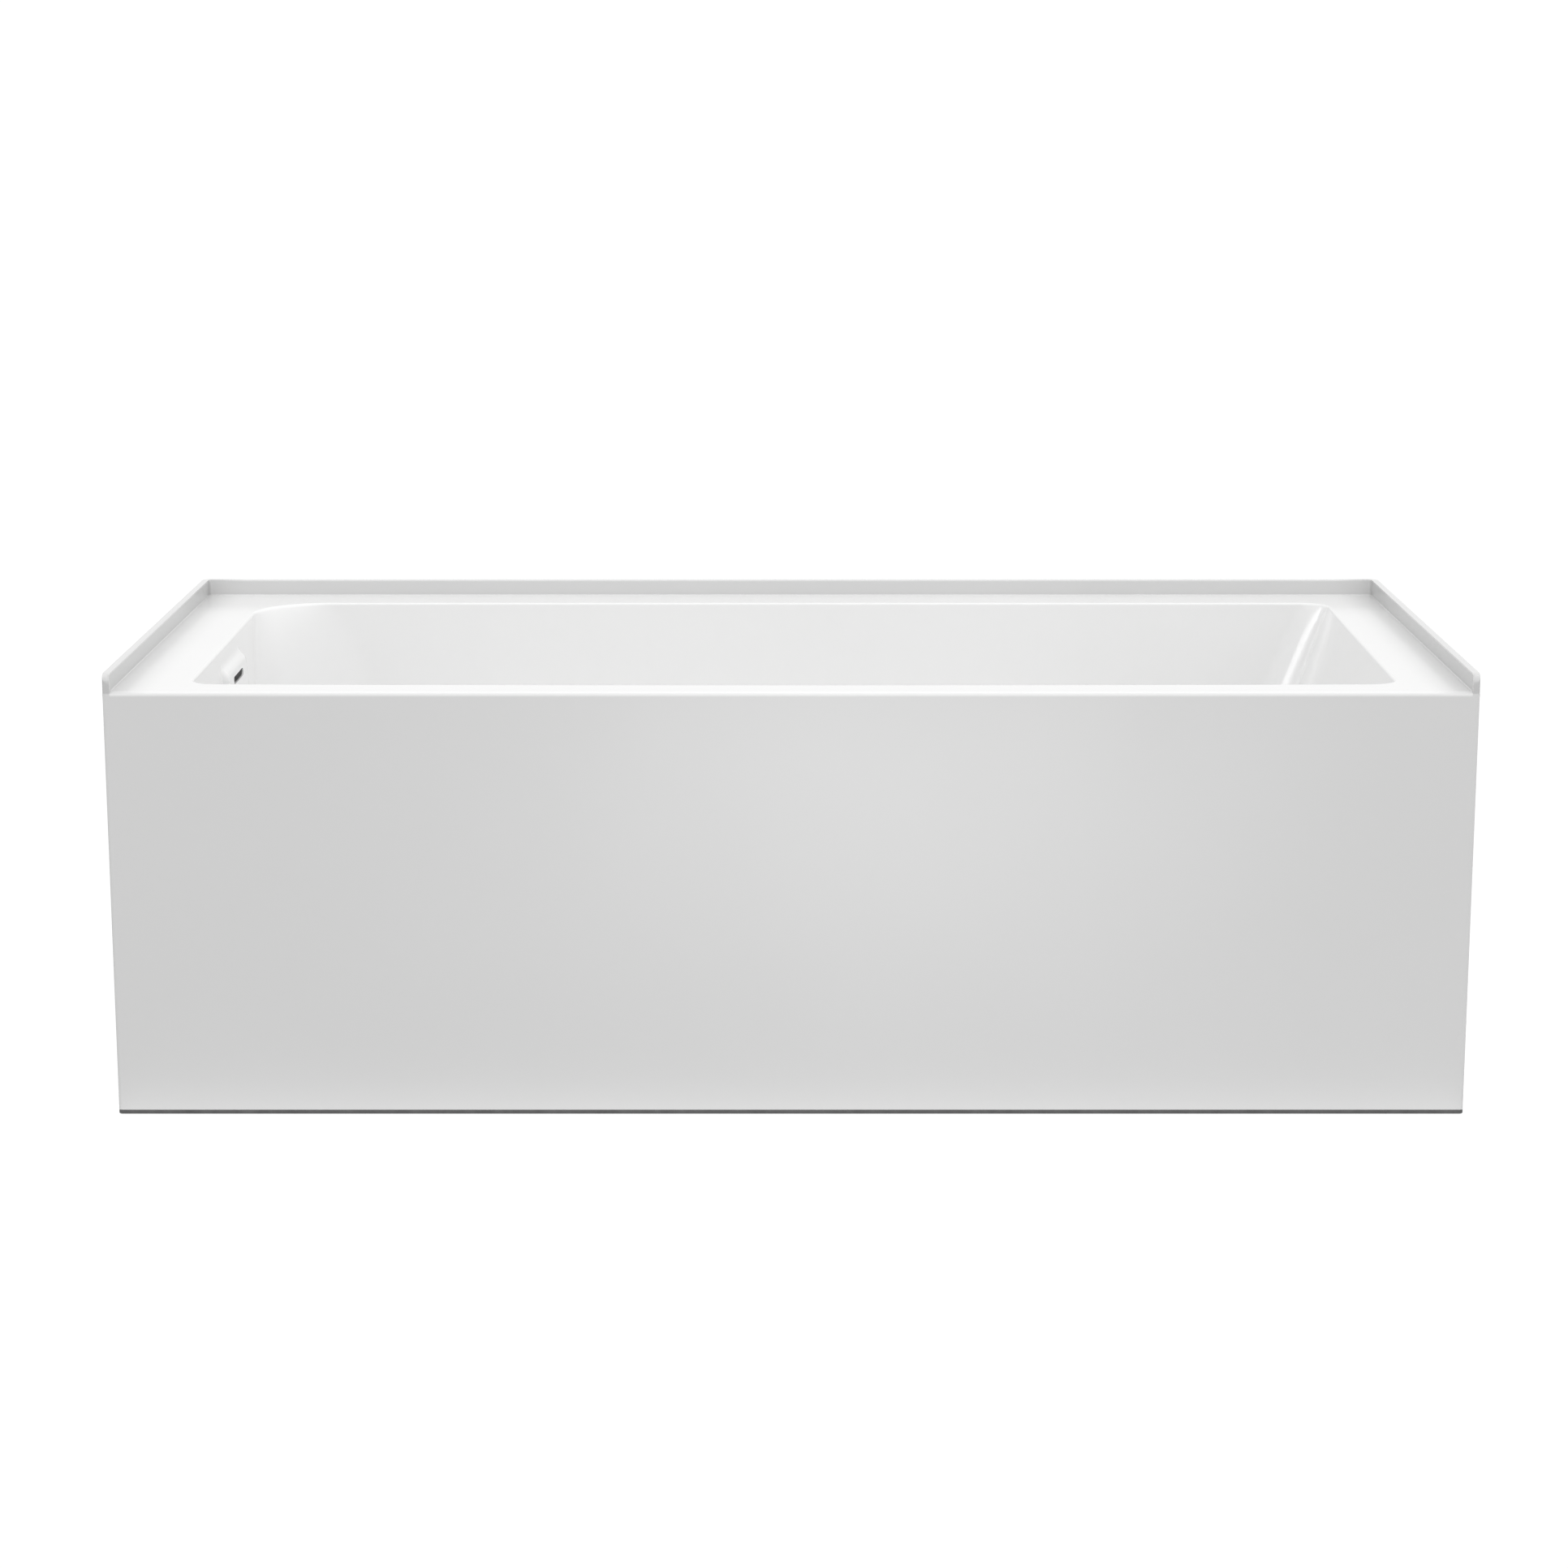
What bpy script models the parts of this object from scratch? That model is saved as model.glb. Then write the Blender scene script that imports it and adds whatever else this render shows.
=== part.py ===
"""Alcove bathtub with an integral front apron, as an assembly of separate parts.

Frame: the origin is on the floor at the centre of the footprint. +X runs from the drain end
to the backrest, -Y is the apron's side and +Z is up. All sizes are in metres.
"""
import math

import bmesh
import bpy
from mathutils import Matrix

# Overall sizes
LENGTH = 1.524
WIDTH = 0.762
DECK_Z = 0.483
FLANGE_RISE = 0.020
GAP = 0.0003
LEFT = -LENGTH / 2
RIGHT = LENGTH / 2
FRONT = -WIDTH / 2
BACK = WIDTH / 2
TOP_Z = DECK_Z + FLANGE_RISE

# Acrylic skin
SKIN = 0.0045
FLANGE_THICK = 0.008
FLANGE_NOSE = 0.012
EDGE_ROLL = 0.012
APRON_CORNER = 0.004
APRON_RETURN = 0.030
APRON_DRAFT = 0.003
STRIP_HIGH = 0.0045
APRON_FOOT_Z = STRIP_HIGH + GAP

# Basin: where each wall's line meets the deck plane, and how far it leans in
BASIN_LEFT = -0.674
BASIN_RIGHT = 0.682
BASIN_FRONT = -0.326
BASIN_BACK = 0.299
BASIN_SPLAY = 0.004
FRONT_BOW = 0.007
LIP = 0.008
FLOOR_Z = 0.100
FLOOR_FALL = 0.005
END_LEAN = math.radians(5.0)
BACKREST_LEAN = math.radians(20.7)
SIDE_LEAN = math.radians(6.5)
END_FILLET = 0.055
BACKREST_FILLET = 0.090
SIDE_FILLET = 0.050
BASIN_MID_Y = -0.0175
# Corner radii at the deck and at the floor, in the order front left, front right,
# back right, back left
DECK_CORNERS = (0.030, 0.030, 0.032, 0.085)
FLOOR_CORNERS = (0.200, 0.060, 0.060, 0.200)
CORNER_GROWTH = 0.6
CORNER_STEPS = 6

# Overflow
SLOT_Z = 0.441
SLOT_WIDE = 0.077
SLOT_HIGH = 0.009
BOSS_WIDE = 0.158
BOSS_ABOVE = 0.022
BOSS_BELOW = 0.050
BOSS_PROUD = 0.008
BOSS_DRAFT = 0.006
BOSS_CORNER = 0.014
PLUMB_X = -0.715

# Layers under the basin
BACKING = 0.004
BACKING_TOP_Z = 0.462
BACKING_FLOOR_Z = 0.0905
BOARD_THICK = 0.012
BOARD_TOP_Z = BACKING_FLOOR_Z - GAP
BOARD_LOW_Z = BOARD_TOP_Z - BOARD_THICK
BOARD_SPAN_X = (-0.585, 0.455)
BOARD_SPAN_Y = (-0.232, 0.198)
BOARD_CORNER = 0.030
BOARD_ROUND_END = 0.170
BOARD_HOLE_R = 0.042
RIM_Z = (DECK_Z - SKIN - GAP - BOARD_THICK, DECK_Z - SKIN - GAP)
RIM_LONG_X = (-0.6935, 0.7015)
RIM_CROSS_Y = (-0.366, 0.372)
RIM_FRONT_Y = (-0.366, -0.344)
RIM_BACK_Y = (0.312, 0.372)
RIM_DRAIN_X = (-0.752, -0.694)
RIM_BACKREST_X = (0.702, 0.752)
APRON_BOARD_HALF = 0.745
APRON_BOARD_THICK = 0.018
APRON_BOARD_Z = (0.030, 0.110)

# Bearers and feet
BEARER = 0.030
BEARER_WALL = 0.002
BEARER_TOP_Z = BOARD_LOW_Z - GAP
BEARER_LOW_Z = BEARER_TOP_Z - BEARER
BEARER_HALF = 0.345
BEARER_X = {"left": -0.400, "right": 0.340}
FOOT_Y = {"front": -0.322, "back": 0.322}
FOOT_HOLE_R = 0.0068
SCREW_Y = {"front": -0.130, "back": 0.100}
SCREW_R = 0.0020
SCREW_HOLE_R = 0.0024
SCREW_HEAD_R = 0.0060
STUD_R = 0.006
STUD_TOP_Z = 0.118
NUT_THICK = 0.010
NUT_FLATS = 0.019
NUT_BORE_R = 0.0064
PAD_R = 0.025
PAD_TOP_Z = 0.0130
STUD_FOOT_Z = 0.0083
STUD_FOOT_R = 0.0100

# Drain and stopper
DRAIN_X = -0.530
SEAT_Z = FLOOR_Z - 0.002
SEAT_R = 0.0372
HOLE_R = 0.026
DRAIN_FLANGE_R = 0.0365
DRAIN_BODY_R = 0.0230
THROAT_R = 0.0190
MOUTH_R = 0.0220
BODY_LOW_Z = 0.072
BAR_HALF = 0.002
BAR_Z = (0.083, 0.087)
STEM_HOLE_R = 0.0036
STEM_R = 0.0030
STEM_LOW_Z = 0.061
CAP_R = 0.0320
CAP_HIGH = 0.0050
SEAL_BORE_R = 0.0245
FLANGE_SEAL = 0.0010
STOPPER_SEAL = 0.0018
DRAIN_GASKET = 0.003
SHOE_R = 0.0285
SHOE_HUB_R = 0.0355
SHOE_LOW_Z = 0.028
SHOE_REACH = 0.050

# Waste pipes
PIPE_R = 0.01905
PIPE_BORE_R = 0.0168
FITTING_R = 0.0200
WASTE_Z = 0.052
SLIP_NUT_R = 0.0255
SLIP_NUT_LONG = 0.022
TAIL_LOW_Z = 0.005
TEE_Z = (0.0220, 0.0900)
TEE_BRANCH_X = -0.668
SPIGOT_Z = 0.385
ROUND = 24

# Overflow housing behind the slot
HOUSING_X = (-0.738, -0.688)
HOUSING_HALF_Y = 0.047
HOUSING_HALF_Z = 0.017
HOUSING_WALL = 0.003
GASKET_THICK = 0.005
GASKET_BORDER = 0.006

WHITE_ACRYLIC = ((0.86, 0.86, 0.86, 1.0), 0.10, 0.0)
GLASS_RESIN = ((0.62, 0.63, 0.55, 1.0), 0.60, 0.0)
DARK_STRIP = ((0.20, 0.20, 0.20, 1.0), 0.70, 0.0)
PLYWOOD = ((0.55, 0.38, 0.21, 1.0), 0.70, 0.0)
GALVANISED = ((0.55, 0.56, 0.57, 1.0), 0.35, 1.0)
ZINC = ((0.66, 0.66, 0.64, 1.0), 0.30, 1.0)
BLACK_RUBBER = ((0.03, 0.03, 0.03, 1.0), 0.80, 0.0)
CHROME = ((0.80, 0.80, 0.82, 1.0), 0.06, 1.0)
BRASS = ((0.70, 0.52, 0.22, 1.0), 0.25, 1.0)
WHITE_PIPE = ((0.75, 0.75, 0.73, 1.0), 0.35, 0.0)
BLACK_PLASTIC = ((0.04, 0.04, 0.04, 1.0), 0.45, 0.0)


def clear_scene():
    for item in list(bpy.data.objects):
        bpy.data.objects.remove(item, do_unlink=True)


def new_collection(name):
    made = bpy.data.collections.new(name)
    bpy.context.scene.collection.children.link(made)
    return made


def make_material(name, look):
    colour, roughness, metallic = look
    made = bpy.data.materials.new(name)
    made.use_nodes = True
    shader = made.node_tree.nodes["Principled BSDF"]
    shader.inputs["Base Color"].default_value = colour
    shader.inputs["Roughness"].default_value = roughness
    shader.inputs["Metallic"].default_value = metallic
    made.diffuse_color = colour
    return made


def finish_mesh(name, shape):
    """Turn a bmesh into an object in the tools collection, faces pointing out."""
    bmesh.ops.recalc_face_normals(shape, faces=shape.faces)
    mesh = bpy.data.meshes.new(name)
    shape.to_mesh(mesh)
    shape.free()
    made = bpy.data.objects.new(name, mesh)
    tools.objects.link(made)
    made.hide_render = True
    made.display_type = "WIRE"
    return made


def keep(piece, name, look):
    """Make a shape a sub-part: its own node with its own material."""
    piece.name = name
    piece.data.name = name
    tools.objects.unlink(piece)
    parts.objects.link(piece)
    piece.hide_render = False
    piece.display_type = "TEXTURED"
    piece.data.materials.clear()
    piece.data.materials.append(make_material(name, look))
    return piece


def prism(outline, axis, low, high):
    """Extrude an outline along X, Y or Z. Its points are the other two coordinates in order."""
    order = {"X": lambda a, b, c: (c, a, b), "Y": lambda a, b, c: (a, c, b), "Z": lambda a, b, c: (a, b, c)}
    place = order[axis]
    shape = bmesh.new()
    ring = [shape.verts.new(place(a, b, low)) for a, b in outline]
    face = shape.faces.new(ring)
    grown = bmesh.ops.extrude_face_region(shape, geom=[face])
    for vert in [item for item in grown["geom"] if isinstance(item, bmesh.types.BMVert)]:
        index = "XYZ".index(axis)
        vert.co[index] = high
    return finish_mesh("prism", shape)


def box(x, y, z):
    shape = bmesh.new()
    bmesh.ops.create_cube(shape, size=1.0)
    size = Matrix.Diagonal((x[1] - x[0], y[1] - y[0], z[1] - z[0], 1.0))
    place = Matrix.Translation(((x[0] + x[1]) / 2, (y[0] + y[1]) / 2, (z[0] + z[1]) / 2))
    bmesh.ops.transform(shape, matrix=place @ size, verts=shape.verts)
    return finish_mesh("box", shape)


def cylinder(radius, low, high, x=0.0, y=0.0, axis="Z", z=0.0, sides=ROUND):
    """A solid cylinder from low to high along its axis, through the point given."""
    shape = bmesh.new()
    bmesh.ops.create_cone(
        shape, cap_ends=True, segments=sides, radius1=radius, radius2=radius, depth=high - low
    )
    middle = (low + high) / 2
    if axis == "Z":
        matrix = Matrix.Translation((x, y, middle))
    else:
        matrix = Matrix.Translation((middle, y, z)) @ Matrix.Rotation(math.pi / 2, 4, "Y")
    bmesh.ops.transform(shape, matrix=matrix, verts=shape.verts)
    return finish_mesh("cylinder", shape)


def turned(profile, x=0.0, y=0.0, sides=ROUND, closed=False):
    """Turn a profile of (radius, height) points, listed from top to bottom on the outside."""
    mesh = bpy.data.meshes.new("turned")
    edges = [(i, i + 1) for i in range(len(profile) - 1)]
    if closed:
        edges.append((len(profile) - 1, 0))
    mesh.from_pydata([(radius, 0.0, height) for radius, height in profile], edges, [])
    made = bpy.data.objects.new("turned", mesh)
    tools.objects.link(made)
    screw = made.modifiers.new("Screw", "SCREW")
    screw.steps = sides
    screw.render_steps = sides
    screw.use_merge_vertices = True
    screw.merge_threshold = 0.00001
    made.location = (x, y, 0.0)
    return bake(made)


def ring(inner, outer, low, high, x=0.0, y=0.0, sides=ROUND):
    profile = [(outer, high), (outer, low), (inner, low), (inner, high)]
    return turned(profile, x, y, sides, closed=True)


def bake(piece):
    """Replace an object by its evaluated mesh in world space, with faces pointing out."""
    bpy.context.view_layer.update()
    evaluated = piece.evaluated_get(bpy.context.evaluated_depsgraph_get())
    mesh = bpy.data.meshes.new_from_object(evaluated)
    shape = bmesh.new()
    shape.from_mesh(mesh)
    bmesh.ops.transform(shape, matrix=piece.matrix_world, verts=shape.verts)
    bpy.data.objects.remove(piece, do_unlink=True)
    return finish_mesh("baked", shape)


def combine(base, others, operation):
    """Add other shapes to a base, or cut them from it, with exact Booleans."""
    for other in others:
        step = base.modifiers.new(operation.title(), "BOOLEAN")
        step.operation = operation
        step.solver = "EXACT"
        step.object = other
    return bake(base)


def join(base, *others):
    return combine(base, others, "UNION")


def cut(base, *others):
    return combine(base, others, "DIFFERENCE")


def moved_copy(piece, x, y, z):
    """A second object that shares a piece's mesh, at another place."""
    made = bpy.data.objects.new(piece.name, piece.data.copy())
    tools.objects.link(made)
    made.matrix_world = Matrix.Translation((x, y, z))
    return made


def arc(cx, cy, radius, start, end, steps):
    """Points along an arc, angles in degrees."""
    points = []
    for i in range(steps + 1):
        angle = math.radians(start + (end - start) * i / steps)
        points.append((cx + radius * math.cos(angle), cy + radius * math.sin(angle)))
    return points


def rounded_rectangle(x, y, radius, steps=4):
    points = arc(x[1] - radius, y[1] - radius, radius, 0, 90, steps)
    points += arc(x[0] + radius, y[1] - radius, radius, 90, 180, steps)
    points += arc(x[0] + radius, y[0] + radius, radius, 180, 270, steps)
    points += arc(x[1] - radius, y[0] + radius, radius, 270, 360, steps)
    return points


# ---------------------------------------------------------------- basin surface


def wall_inset(z, lean, fillet, floor_z):
    """How far a leaning wall has come in at height z, with its fillet into the floor."""
    tangent_z = floor_z + fillet * (1 - math.sin(lean))
    if z >= tangent_z:
        return (DECK_Z - z) * math.tan(lean)
    centre = (DECK_Z - floor_z - fillet + fillet * math.sin(lean)) * math.tan(lean)
    centre += fillet * math.cos(lean)
    return centre - math.sqrt(max(0.0, fillet**2 - (floor_z + fillet - z) ** 2))


def basin_section(z, grow, floor_z):
    """One level outline of the basin, grown outwards, as a closed list of points."""
    deep = FLOOR_Z - floor_z
    low = min(1.0, max(0.0, (DECK_Z - z) / (DECK_Z - floor_z)))
    blend = low**CORNER_GROWTH
    left = BASIN_LEFT - grow + wall_inset(z, END_LEAN, END_FILLET + deep, floor_z)
    right = BASIN_RIGHT + grow - wall_inset(z, BACKREST_LEAN, BACKREST_FILLET + deep, floor_z)
    side = wall_inset(z, SIDE_LEAN, SIDE_FILLET + deep, floor_z)
    front = BASIN_FRONT - grow + side
    back = BASIN_BACK + grow - side
    radii = [a + (b - a) * blend + grow for a, b in zip(DECK_CORNERS, FLOOR_CORNERS)]
    corners = [
        (left + radii[0], front + radii[0], radii[0], 180),
        (right + -radii[1], front + radii[1], radii[1], 270),
        (right - radii[2], back - radii[2], radii[2], 0),
        (left + radii[3], back - radii[3], radii[3], 90),
    ]
    between = [6, 2, 3, 2]
    arcs = [arc(cx, cy, r, start, start + 90, CORNER_STEPS) for cx, cy, r, start in corners]
    points = []
    for i, run in enumerate(arcs):
        points += run
        nxt = arcs[(i + 1) % len(arcs)][0]
        for k in range(1, between[i]):
            t = k / between[i]
            points.append((run[-1][0] + (nxt[0] - run[-1][0]) * t, run[-1][1] + (nxt[1] - run[-1][1]) * t))
    return [bent_point(x, y, front, 1 - low) for x, y in points]


def bent_point(x, y, front, share):
    """Bow the front edge forwards and splay the backrest end, both most at the deck."""
    if y < front + 0.5 * (BASIN_MID_Y - front):
        across = min(1.0, abs(x) / abs(BASIN_LEFT))
        y -= FRONT_BOW * share * (1 - across**2)
    if x > 0:
        x += BASIN_SPLAY * (y - BASIN_MID_Y) / (BASIN_BACK - BASIN_FRONT)
    return x, y


def basin_levels(floor_z):
    """Heights of the basin's outlines below the lip, closer together in the fillet."""
    deep = FLOOR_Z - floor_z
    levels = [DECK_Z - LIP, 0.410, 0.330, 0.250, 0.190]
    for angle in (30, 42, 54, 66, 78, 90):
        levels.append(floor_z + (BACKREST_FILLET + deep) * (1 - math.sin(math.radians(angle))))
    return levels


def basin_solid(grow, floor_z, rims, tilted=True):
    """A solid basin: rim outlines given as (height, extra growth), then the walls and floor."""
    rings = [(z, grow + extra) for z, extra in rims]
    rings += [(z, grow) for z in basin_levels(floor_z) if z < rims[-1][0] - GAP]
    shape = bmesh.new()
    rows = []
    for z, growth in rings:
        row = []
        share = max(0.0, (DECK_Z - z) / (DECK_Z - floor_z)) if tilted else 0.0
        for x, y in basin_section(z, growth, floor_z):
            row.append(shape.verts.new((x, y, z + FLOOR_FALL * (x - DRAIN_X) * share)))
        rows.append(row)
    count = len(rows[0])
    for upper, lower in zip(rows, rows[1:]):
        for i in range(count):
            k = (i + 1) % count
            shape.faces.new((upper[i], lower[i], lower[k], upper[k]))
    shape.faces.new(rows[0])
    shape.faces.new(rows[-1])
    return finish_mesh("basin", shape)


def end_wall_x(z, depth=0.0):
    """The drain end wall's surface at height z, or a surface this far behind it."""
    return BASIN_LEFT - depth + (DECK_Z - z) * math.tan(END_LEAN)


def slot_cutter():
    half = SLOT_HIGH / 2
    reach = SLOT_WIDE / 2 - half
    outline = arc(BASIN_MID_Y + reach, SLOT_Z, half, -90, 90, 6)
    outline += arc(BASIN_MID_Y - reach, SLOT_Z, half, 90, 270, 6)
    return prism(outline, "X", -0.700, -0.640)


# ---------------------------------------------------------------- tub body


def lip_rims():
    """The cutter's rim: straight up past the deck, then the rolled lip."""
    rims = [(DECK_Z + 0.010, LIP), (DECK_Z, LIP)]
    for angle in (22.5, 45, 67.5):
        turn = math.radians(angle)
        rims.append((DECK_Z - LIP * (1 - math.cos(turn)), LIP * (1 - math.sin(turn))))
    return rims


def flange_side(low, high):
    """One end flange: a plate along the whole side, its nose rounded at the front."""
    outline = [(FRONT, DECK_Z - 2 * EDGE_ROLL), (BACK, DECK_Z - 2 * EDGE_ROLL), (BACK, TOP_Z)]
    outline += arc(FRONT + FLANGE_NOSE, TOP_Z - FLANGE_NOSE, FLANGE_NOSE, 90, 180, 5)
    plate = prism(outline, "X", low, high)
    under = box((low - 1, high + 1), (FRONT + SKIN, BACK + 1), (0, DECK_Z - SKIN))
    return cut(plate, under)


def deck_plate():
    """Deck, front edge roll and the apron's top, as one bent plate between the end flanges."""
    roll_y = FRONT + EDGE_ROLL
    roll_z = DECK_Z - EDGE_ROLL
    low_z = DECK_Z - 2 * EDGE_ROLL
    outline = [(BACK, DECK_Z)]
    outline += arc(roll_y, roll_z, EDGE_ROLL, 90, 180, 5)
    outline += [(FRONT, low_z), (FRONT + SKIN, low_z)]
    outline += arc(roll_y, roll_z, EDGE_ROLL - SKIN, 180, 90, 3)
    outline += [(BACK, DECK_Z - SKIN)]
    return prism(outline, "X", LEFT + FLANGE_THICK / 2, RIGHT - FLANGE_THICK / 2)


def apron_outline(shrink=0.0):
    """Plan of the apron and its two returns, as a U with rounded outer corners."""
    left = LEFT + shrink
    right = RIGHT - shrink
    end_y = FRONT + APRON_RETURN
    outline = [(right, end_y)]
    outline += reversed(arc(right - APRON_CORNER, FRONT + APRON_CORNER, APRON_CORNER, 270, 360, 3))
    outline += reversed(arc(left + APRON_CORNER, FRONT + APRON_CORNER, APRON_CORNER, 180, 270, 3))
    outline += [(left, end_y), (left + SKIN, end_y), (left + SKIN, FRONT + SKIN)]
    outline += [(right - SKIN, FRONT + SKIN), (right - SKIN, end_y)]
    return outline


def apron():
    """The apron down to its foot, a little narrower at the floor than at the deck."""
    plate = prism(apron_outline(), "Z", APRON_FOOT_Z, DECK_Z - EDGE_ROLL - GAP)
    for vert in plate.data.vertices:
        if vert.co.z < DECK_Z / 2:
            vert.co.x -= math.copysign(APRON_DRAFT, vert.co.x)
    return plate


def overflow_boss():
    """A low rounded pad on the drain end wall, drafted on all sides."""
    half = BOSS_WIDE / 2
    shape = bmesh.new()
    rows = []
    for proud, shrink in ((-SKIN / 2, 0.0), (0.0, 0.0), (BOSS_PROUD, BOSS_DRAFT)):
        outline = rounded_rectangle(
            (BASIN_MID_Y - half + shrink, BASIN_MID_Y + half - shrink),
            (SLOT_Z - BOSS_BELOW + shrink, SLOT_Z + BOSS_ABOVE - shrink),
            BOSS_CORNER,
        )
        rows.append([shape.verts.new((end_wall_x(z) + proud, y, z)) for y, z in outline])
    count = len(rows[0])
    for near, far in zip(rows, rows[1:]):
        for i in range(count):
            k = (i + 1) % count
            shape.faces.new((near[i], near[k], far[k], far[i]))
    shape.faces.new(rows[0])
    shape.faces.new(rows[-1])
    return finish_mesh("boss", shape)


def return_tops():
    """Where each side return of the apron runs up into the underside of the deck."""
    y = (FRONT + SKIN / 2, FRONT + APRON_RETURN)
    z = (DECK_Z - EDGE_ROLL - 2 * GAP, DECK_Z - SKIN / 2)
    return [box((LEFT, LEFT + SKIN), y, z), box((RIGHT - SKIN, RIGHT), y, z)]


def corner_cutter(side):
    """What is cut from an end flange so that its front corner is as round as the apron's."""
    x = side * (RIGHT - APRON_CORNER)
    y = FRONT + APRON_CORNER
    beyond = 2 * APRON_CORNER
    low = DECK_Z - 3 * EDGE_ROLL
    high = TOP_Z + EDGE_ROLL
    corner = box(sorted((x, x + side * beyond)), (y - beyond, y), (low, high))
    return cut(corner, cylinder(APRON_CORNER, low - 1, high + 1, x, y, sides=12))


def tub_shell():
    bowl = basin_solid(SKIN, FLOOR_Z - SKIN, [(DECK_Z - GAP, 0.0), (DECK_Z - LIP, 0.0)])
    shell = join(
        deck_plate(),
        cut(flange_side(LEFT, LEFT + FLANGE_THICK), corner_cutter(-1)),
        cut(flange_side(RIGHT - FLANGE_THICK, RIGHT), corner_cutter(1)),
        *return_tops(),
        box((LEFT + GAP, RIGHT - GAP), (BACK - FLANGE_THICK, BACK), (DECK_Z - SKIN, TOP_Z)),
        apron(),
        bowl,
    )
    shell = cut(shell, basin_solid(0.0, FLOOR_Z, lip_rims()))
    shell = join(shell, overflow_boss())
    shell = cut(
        shell,
        slot_cutter(),
        cylinder(HOLE_R, FLOOR_Z - 0.05, FLOOR_Z + 0.05, DRAIN_X, BASIN_MID_Y),
        cylinder(SEAT_R, SEAT_Z, FLOOR_Z + 0.05, DRAIN_X, BASIN_MID_Y, sides=32),
    )
    keep(shell, "tub_shell", WHITE_ACRYLIC)


def fibreglass_backing():
    inner = basin_solid(SKIN + GAP, FLOOR_Z - SKIN - GAP, [(DECK_Z, 0.0)])
    outer = basin_solid(SKIN + GAP + BACKING, BACKING_FLOOR_Z, [(BACKING_TOP_Z, 0.0)], tilted=False)
    layer = cut(
        outer,
        inner,
        slot_cutter(),
        cylinder(HOLE_R, FLOOR_Z - 0.05, FLOOR_Z + 0.05, DRAIN_X, BASIN_MID_Y),
    )
    keep(layer, "fibreglass_backing", GLASS_RESIN)


def apron_foot_strip():
    strip = prism(apron_outline(APRON_DRAFT), "Z", 0.0, STRIP_HIGH)
    keep(strip, "apron_foot_strip", DARK_STRIP)


# ---------------------------------------------------------------- boards


def base_outline():
    """The base board's plan, its drain end as round as the basin's floor above it."""
    left, right = BOARD_SPAN_X
    front, back = BOARD_SPAN_Y
    small, large = BOARD_CORNER, BOARD_ROUND_END
    outline = arc(right - small, back - small, small, 0, 90, 4)
    outline += arc(left + large, back - large, large, 90, 180, 8)
    outline += arc(left + large, front + large, large, 180, 270, 8)
    outline += arc(right - small, front + small, small, 270, 360, 4)
    return outline


def boards():
    base = cut(
        prism(base_outline(), "Z", BOARD_LOW_Z, BOARD_TOP_Z),
        cylinder(BOARD_HOLE_R, BOARD_LOW_Z - 0.01, BOARD_TOP_Z + 0.01, DRAIN_X, BASIN_MID_Y),
        *[screw_hole(x, y) for x in BEARER_X.values() for y in SCREW_Y.values()],
    )
    keep(base, "base_board", PLYWOOD)
    keep(box(RIM_LONG_X, RIM_FRONT_Y, RIM_Z), "front_rim_board", PLYWOOD)
    keep(box(RIM_LONG_X, RIM_BACK_Y, RIM_Z), "back_rim_board", PLYWOOD)
    keep(box(RIM_DRAIN_X, RIM_CROSS_Y, RIM_Z), "drain_end_rim_board", PLYWOOD)
    keep(box(RIM_BACKREST_X, RIM_CROSS_Y, RIM_Z), "backrest_end_rim_board", PLYWOOD)
    face_y = FRONT + SKIN + GAP
    span_x = (-APRON_BOARD_HALF, APRON_BOARD_HALF)
    keep(box(span_x, (face_y, face_y + APRON_BOARD_THICK), APRON_BOARD_Z), "apron_board", PLYWOOD)


def screw_hole(x, y):
    return cylinder(SCREW_HOLE_R, BEARER_LOW_Z - 0.01, BOARD_TOP_Z - 0.0015, x, y, sides=12)


# ---------------------------------------------------------------- bearers and feet


def bearers():
    half = BEARER / 2
    inner = half - BEARER_WALL
    mid_z = BEARER_TOP_Z - half
    low, high = BEARER_LOW_Z - 0.01, BEARER_TOP_Z + 0.01
    for side, x in BEARER_X.items():
        tube = cut(
            box((x - half, x + half), (-BEARER_HALF, BEARER_HALF), (BEARER_LOW_Z, BEARER_TOP_Z)),
            box((x - inner, x + inner), (-1, 1), (mid_z - inner, mid_z + inner)),
            *[cylinder(FOOT_HOLE_R, low, high, x, y, sides=16) for y in FOOT_Y.values()],
            *[cylinder(SCREW_HOLE_R, low, high, x, y, sides=12) for y in SCREW_Y.values()],
        )
        keep(tube, side + "_bearer", GALVANISED)


def bearer_screws():
    head_top = BEARER_LOW_Z - GAP
    tip = BOARD_TOP_Z - 0.002
    profile = [
        (0.0, tip),
        (SCREW_R, tip - 0.003),
        (SCREW_R, head_top),
        (SCREW_HEAD_R, head_top),
        (SCREW_HEAD_R - 0.0004, head_top - 0.0022),
        (SCREW_HEAD_R / 2, head_top - 0.0034),
        (0.0, head_top - 0.0036),
    ]
    for side, x in BEARER_X.items():
        for end, y in SCREW_Y.items():
            keep(turned(profile, x, y, sides=12), f"bearer_screw_{end}_{side}", ZINC)


def hex_nut():
    blank = cylinder(NUT_FLATS / math.sqrt(3), 0.0, NUT_THICK, sides=6)
    return cut(blank, cylinder(NUT_BORE_R, -1, 1, sides=ROUND))


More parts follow.
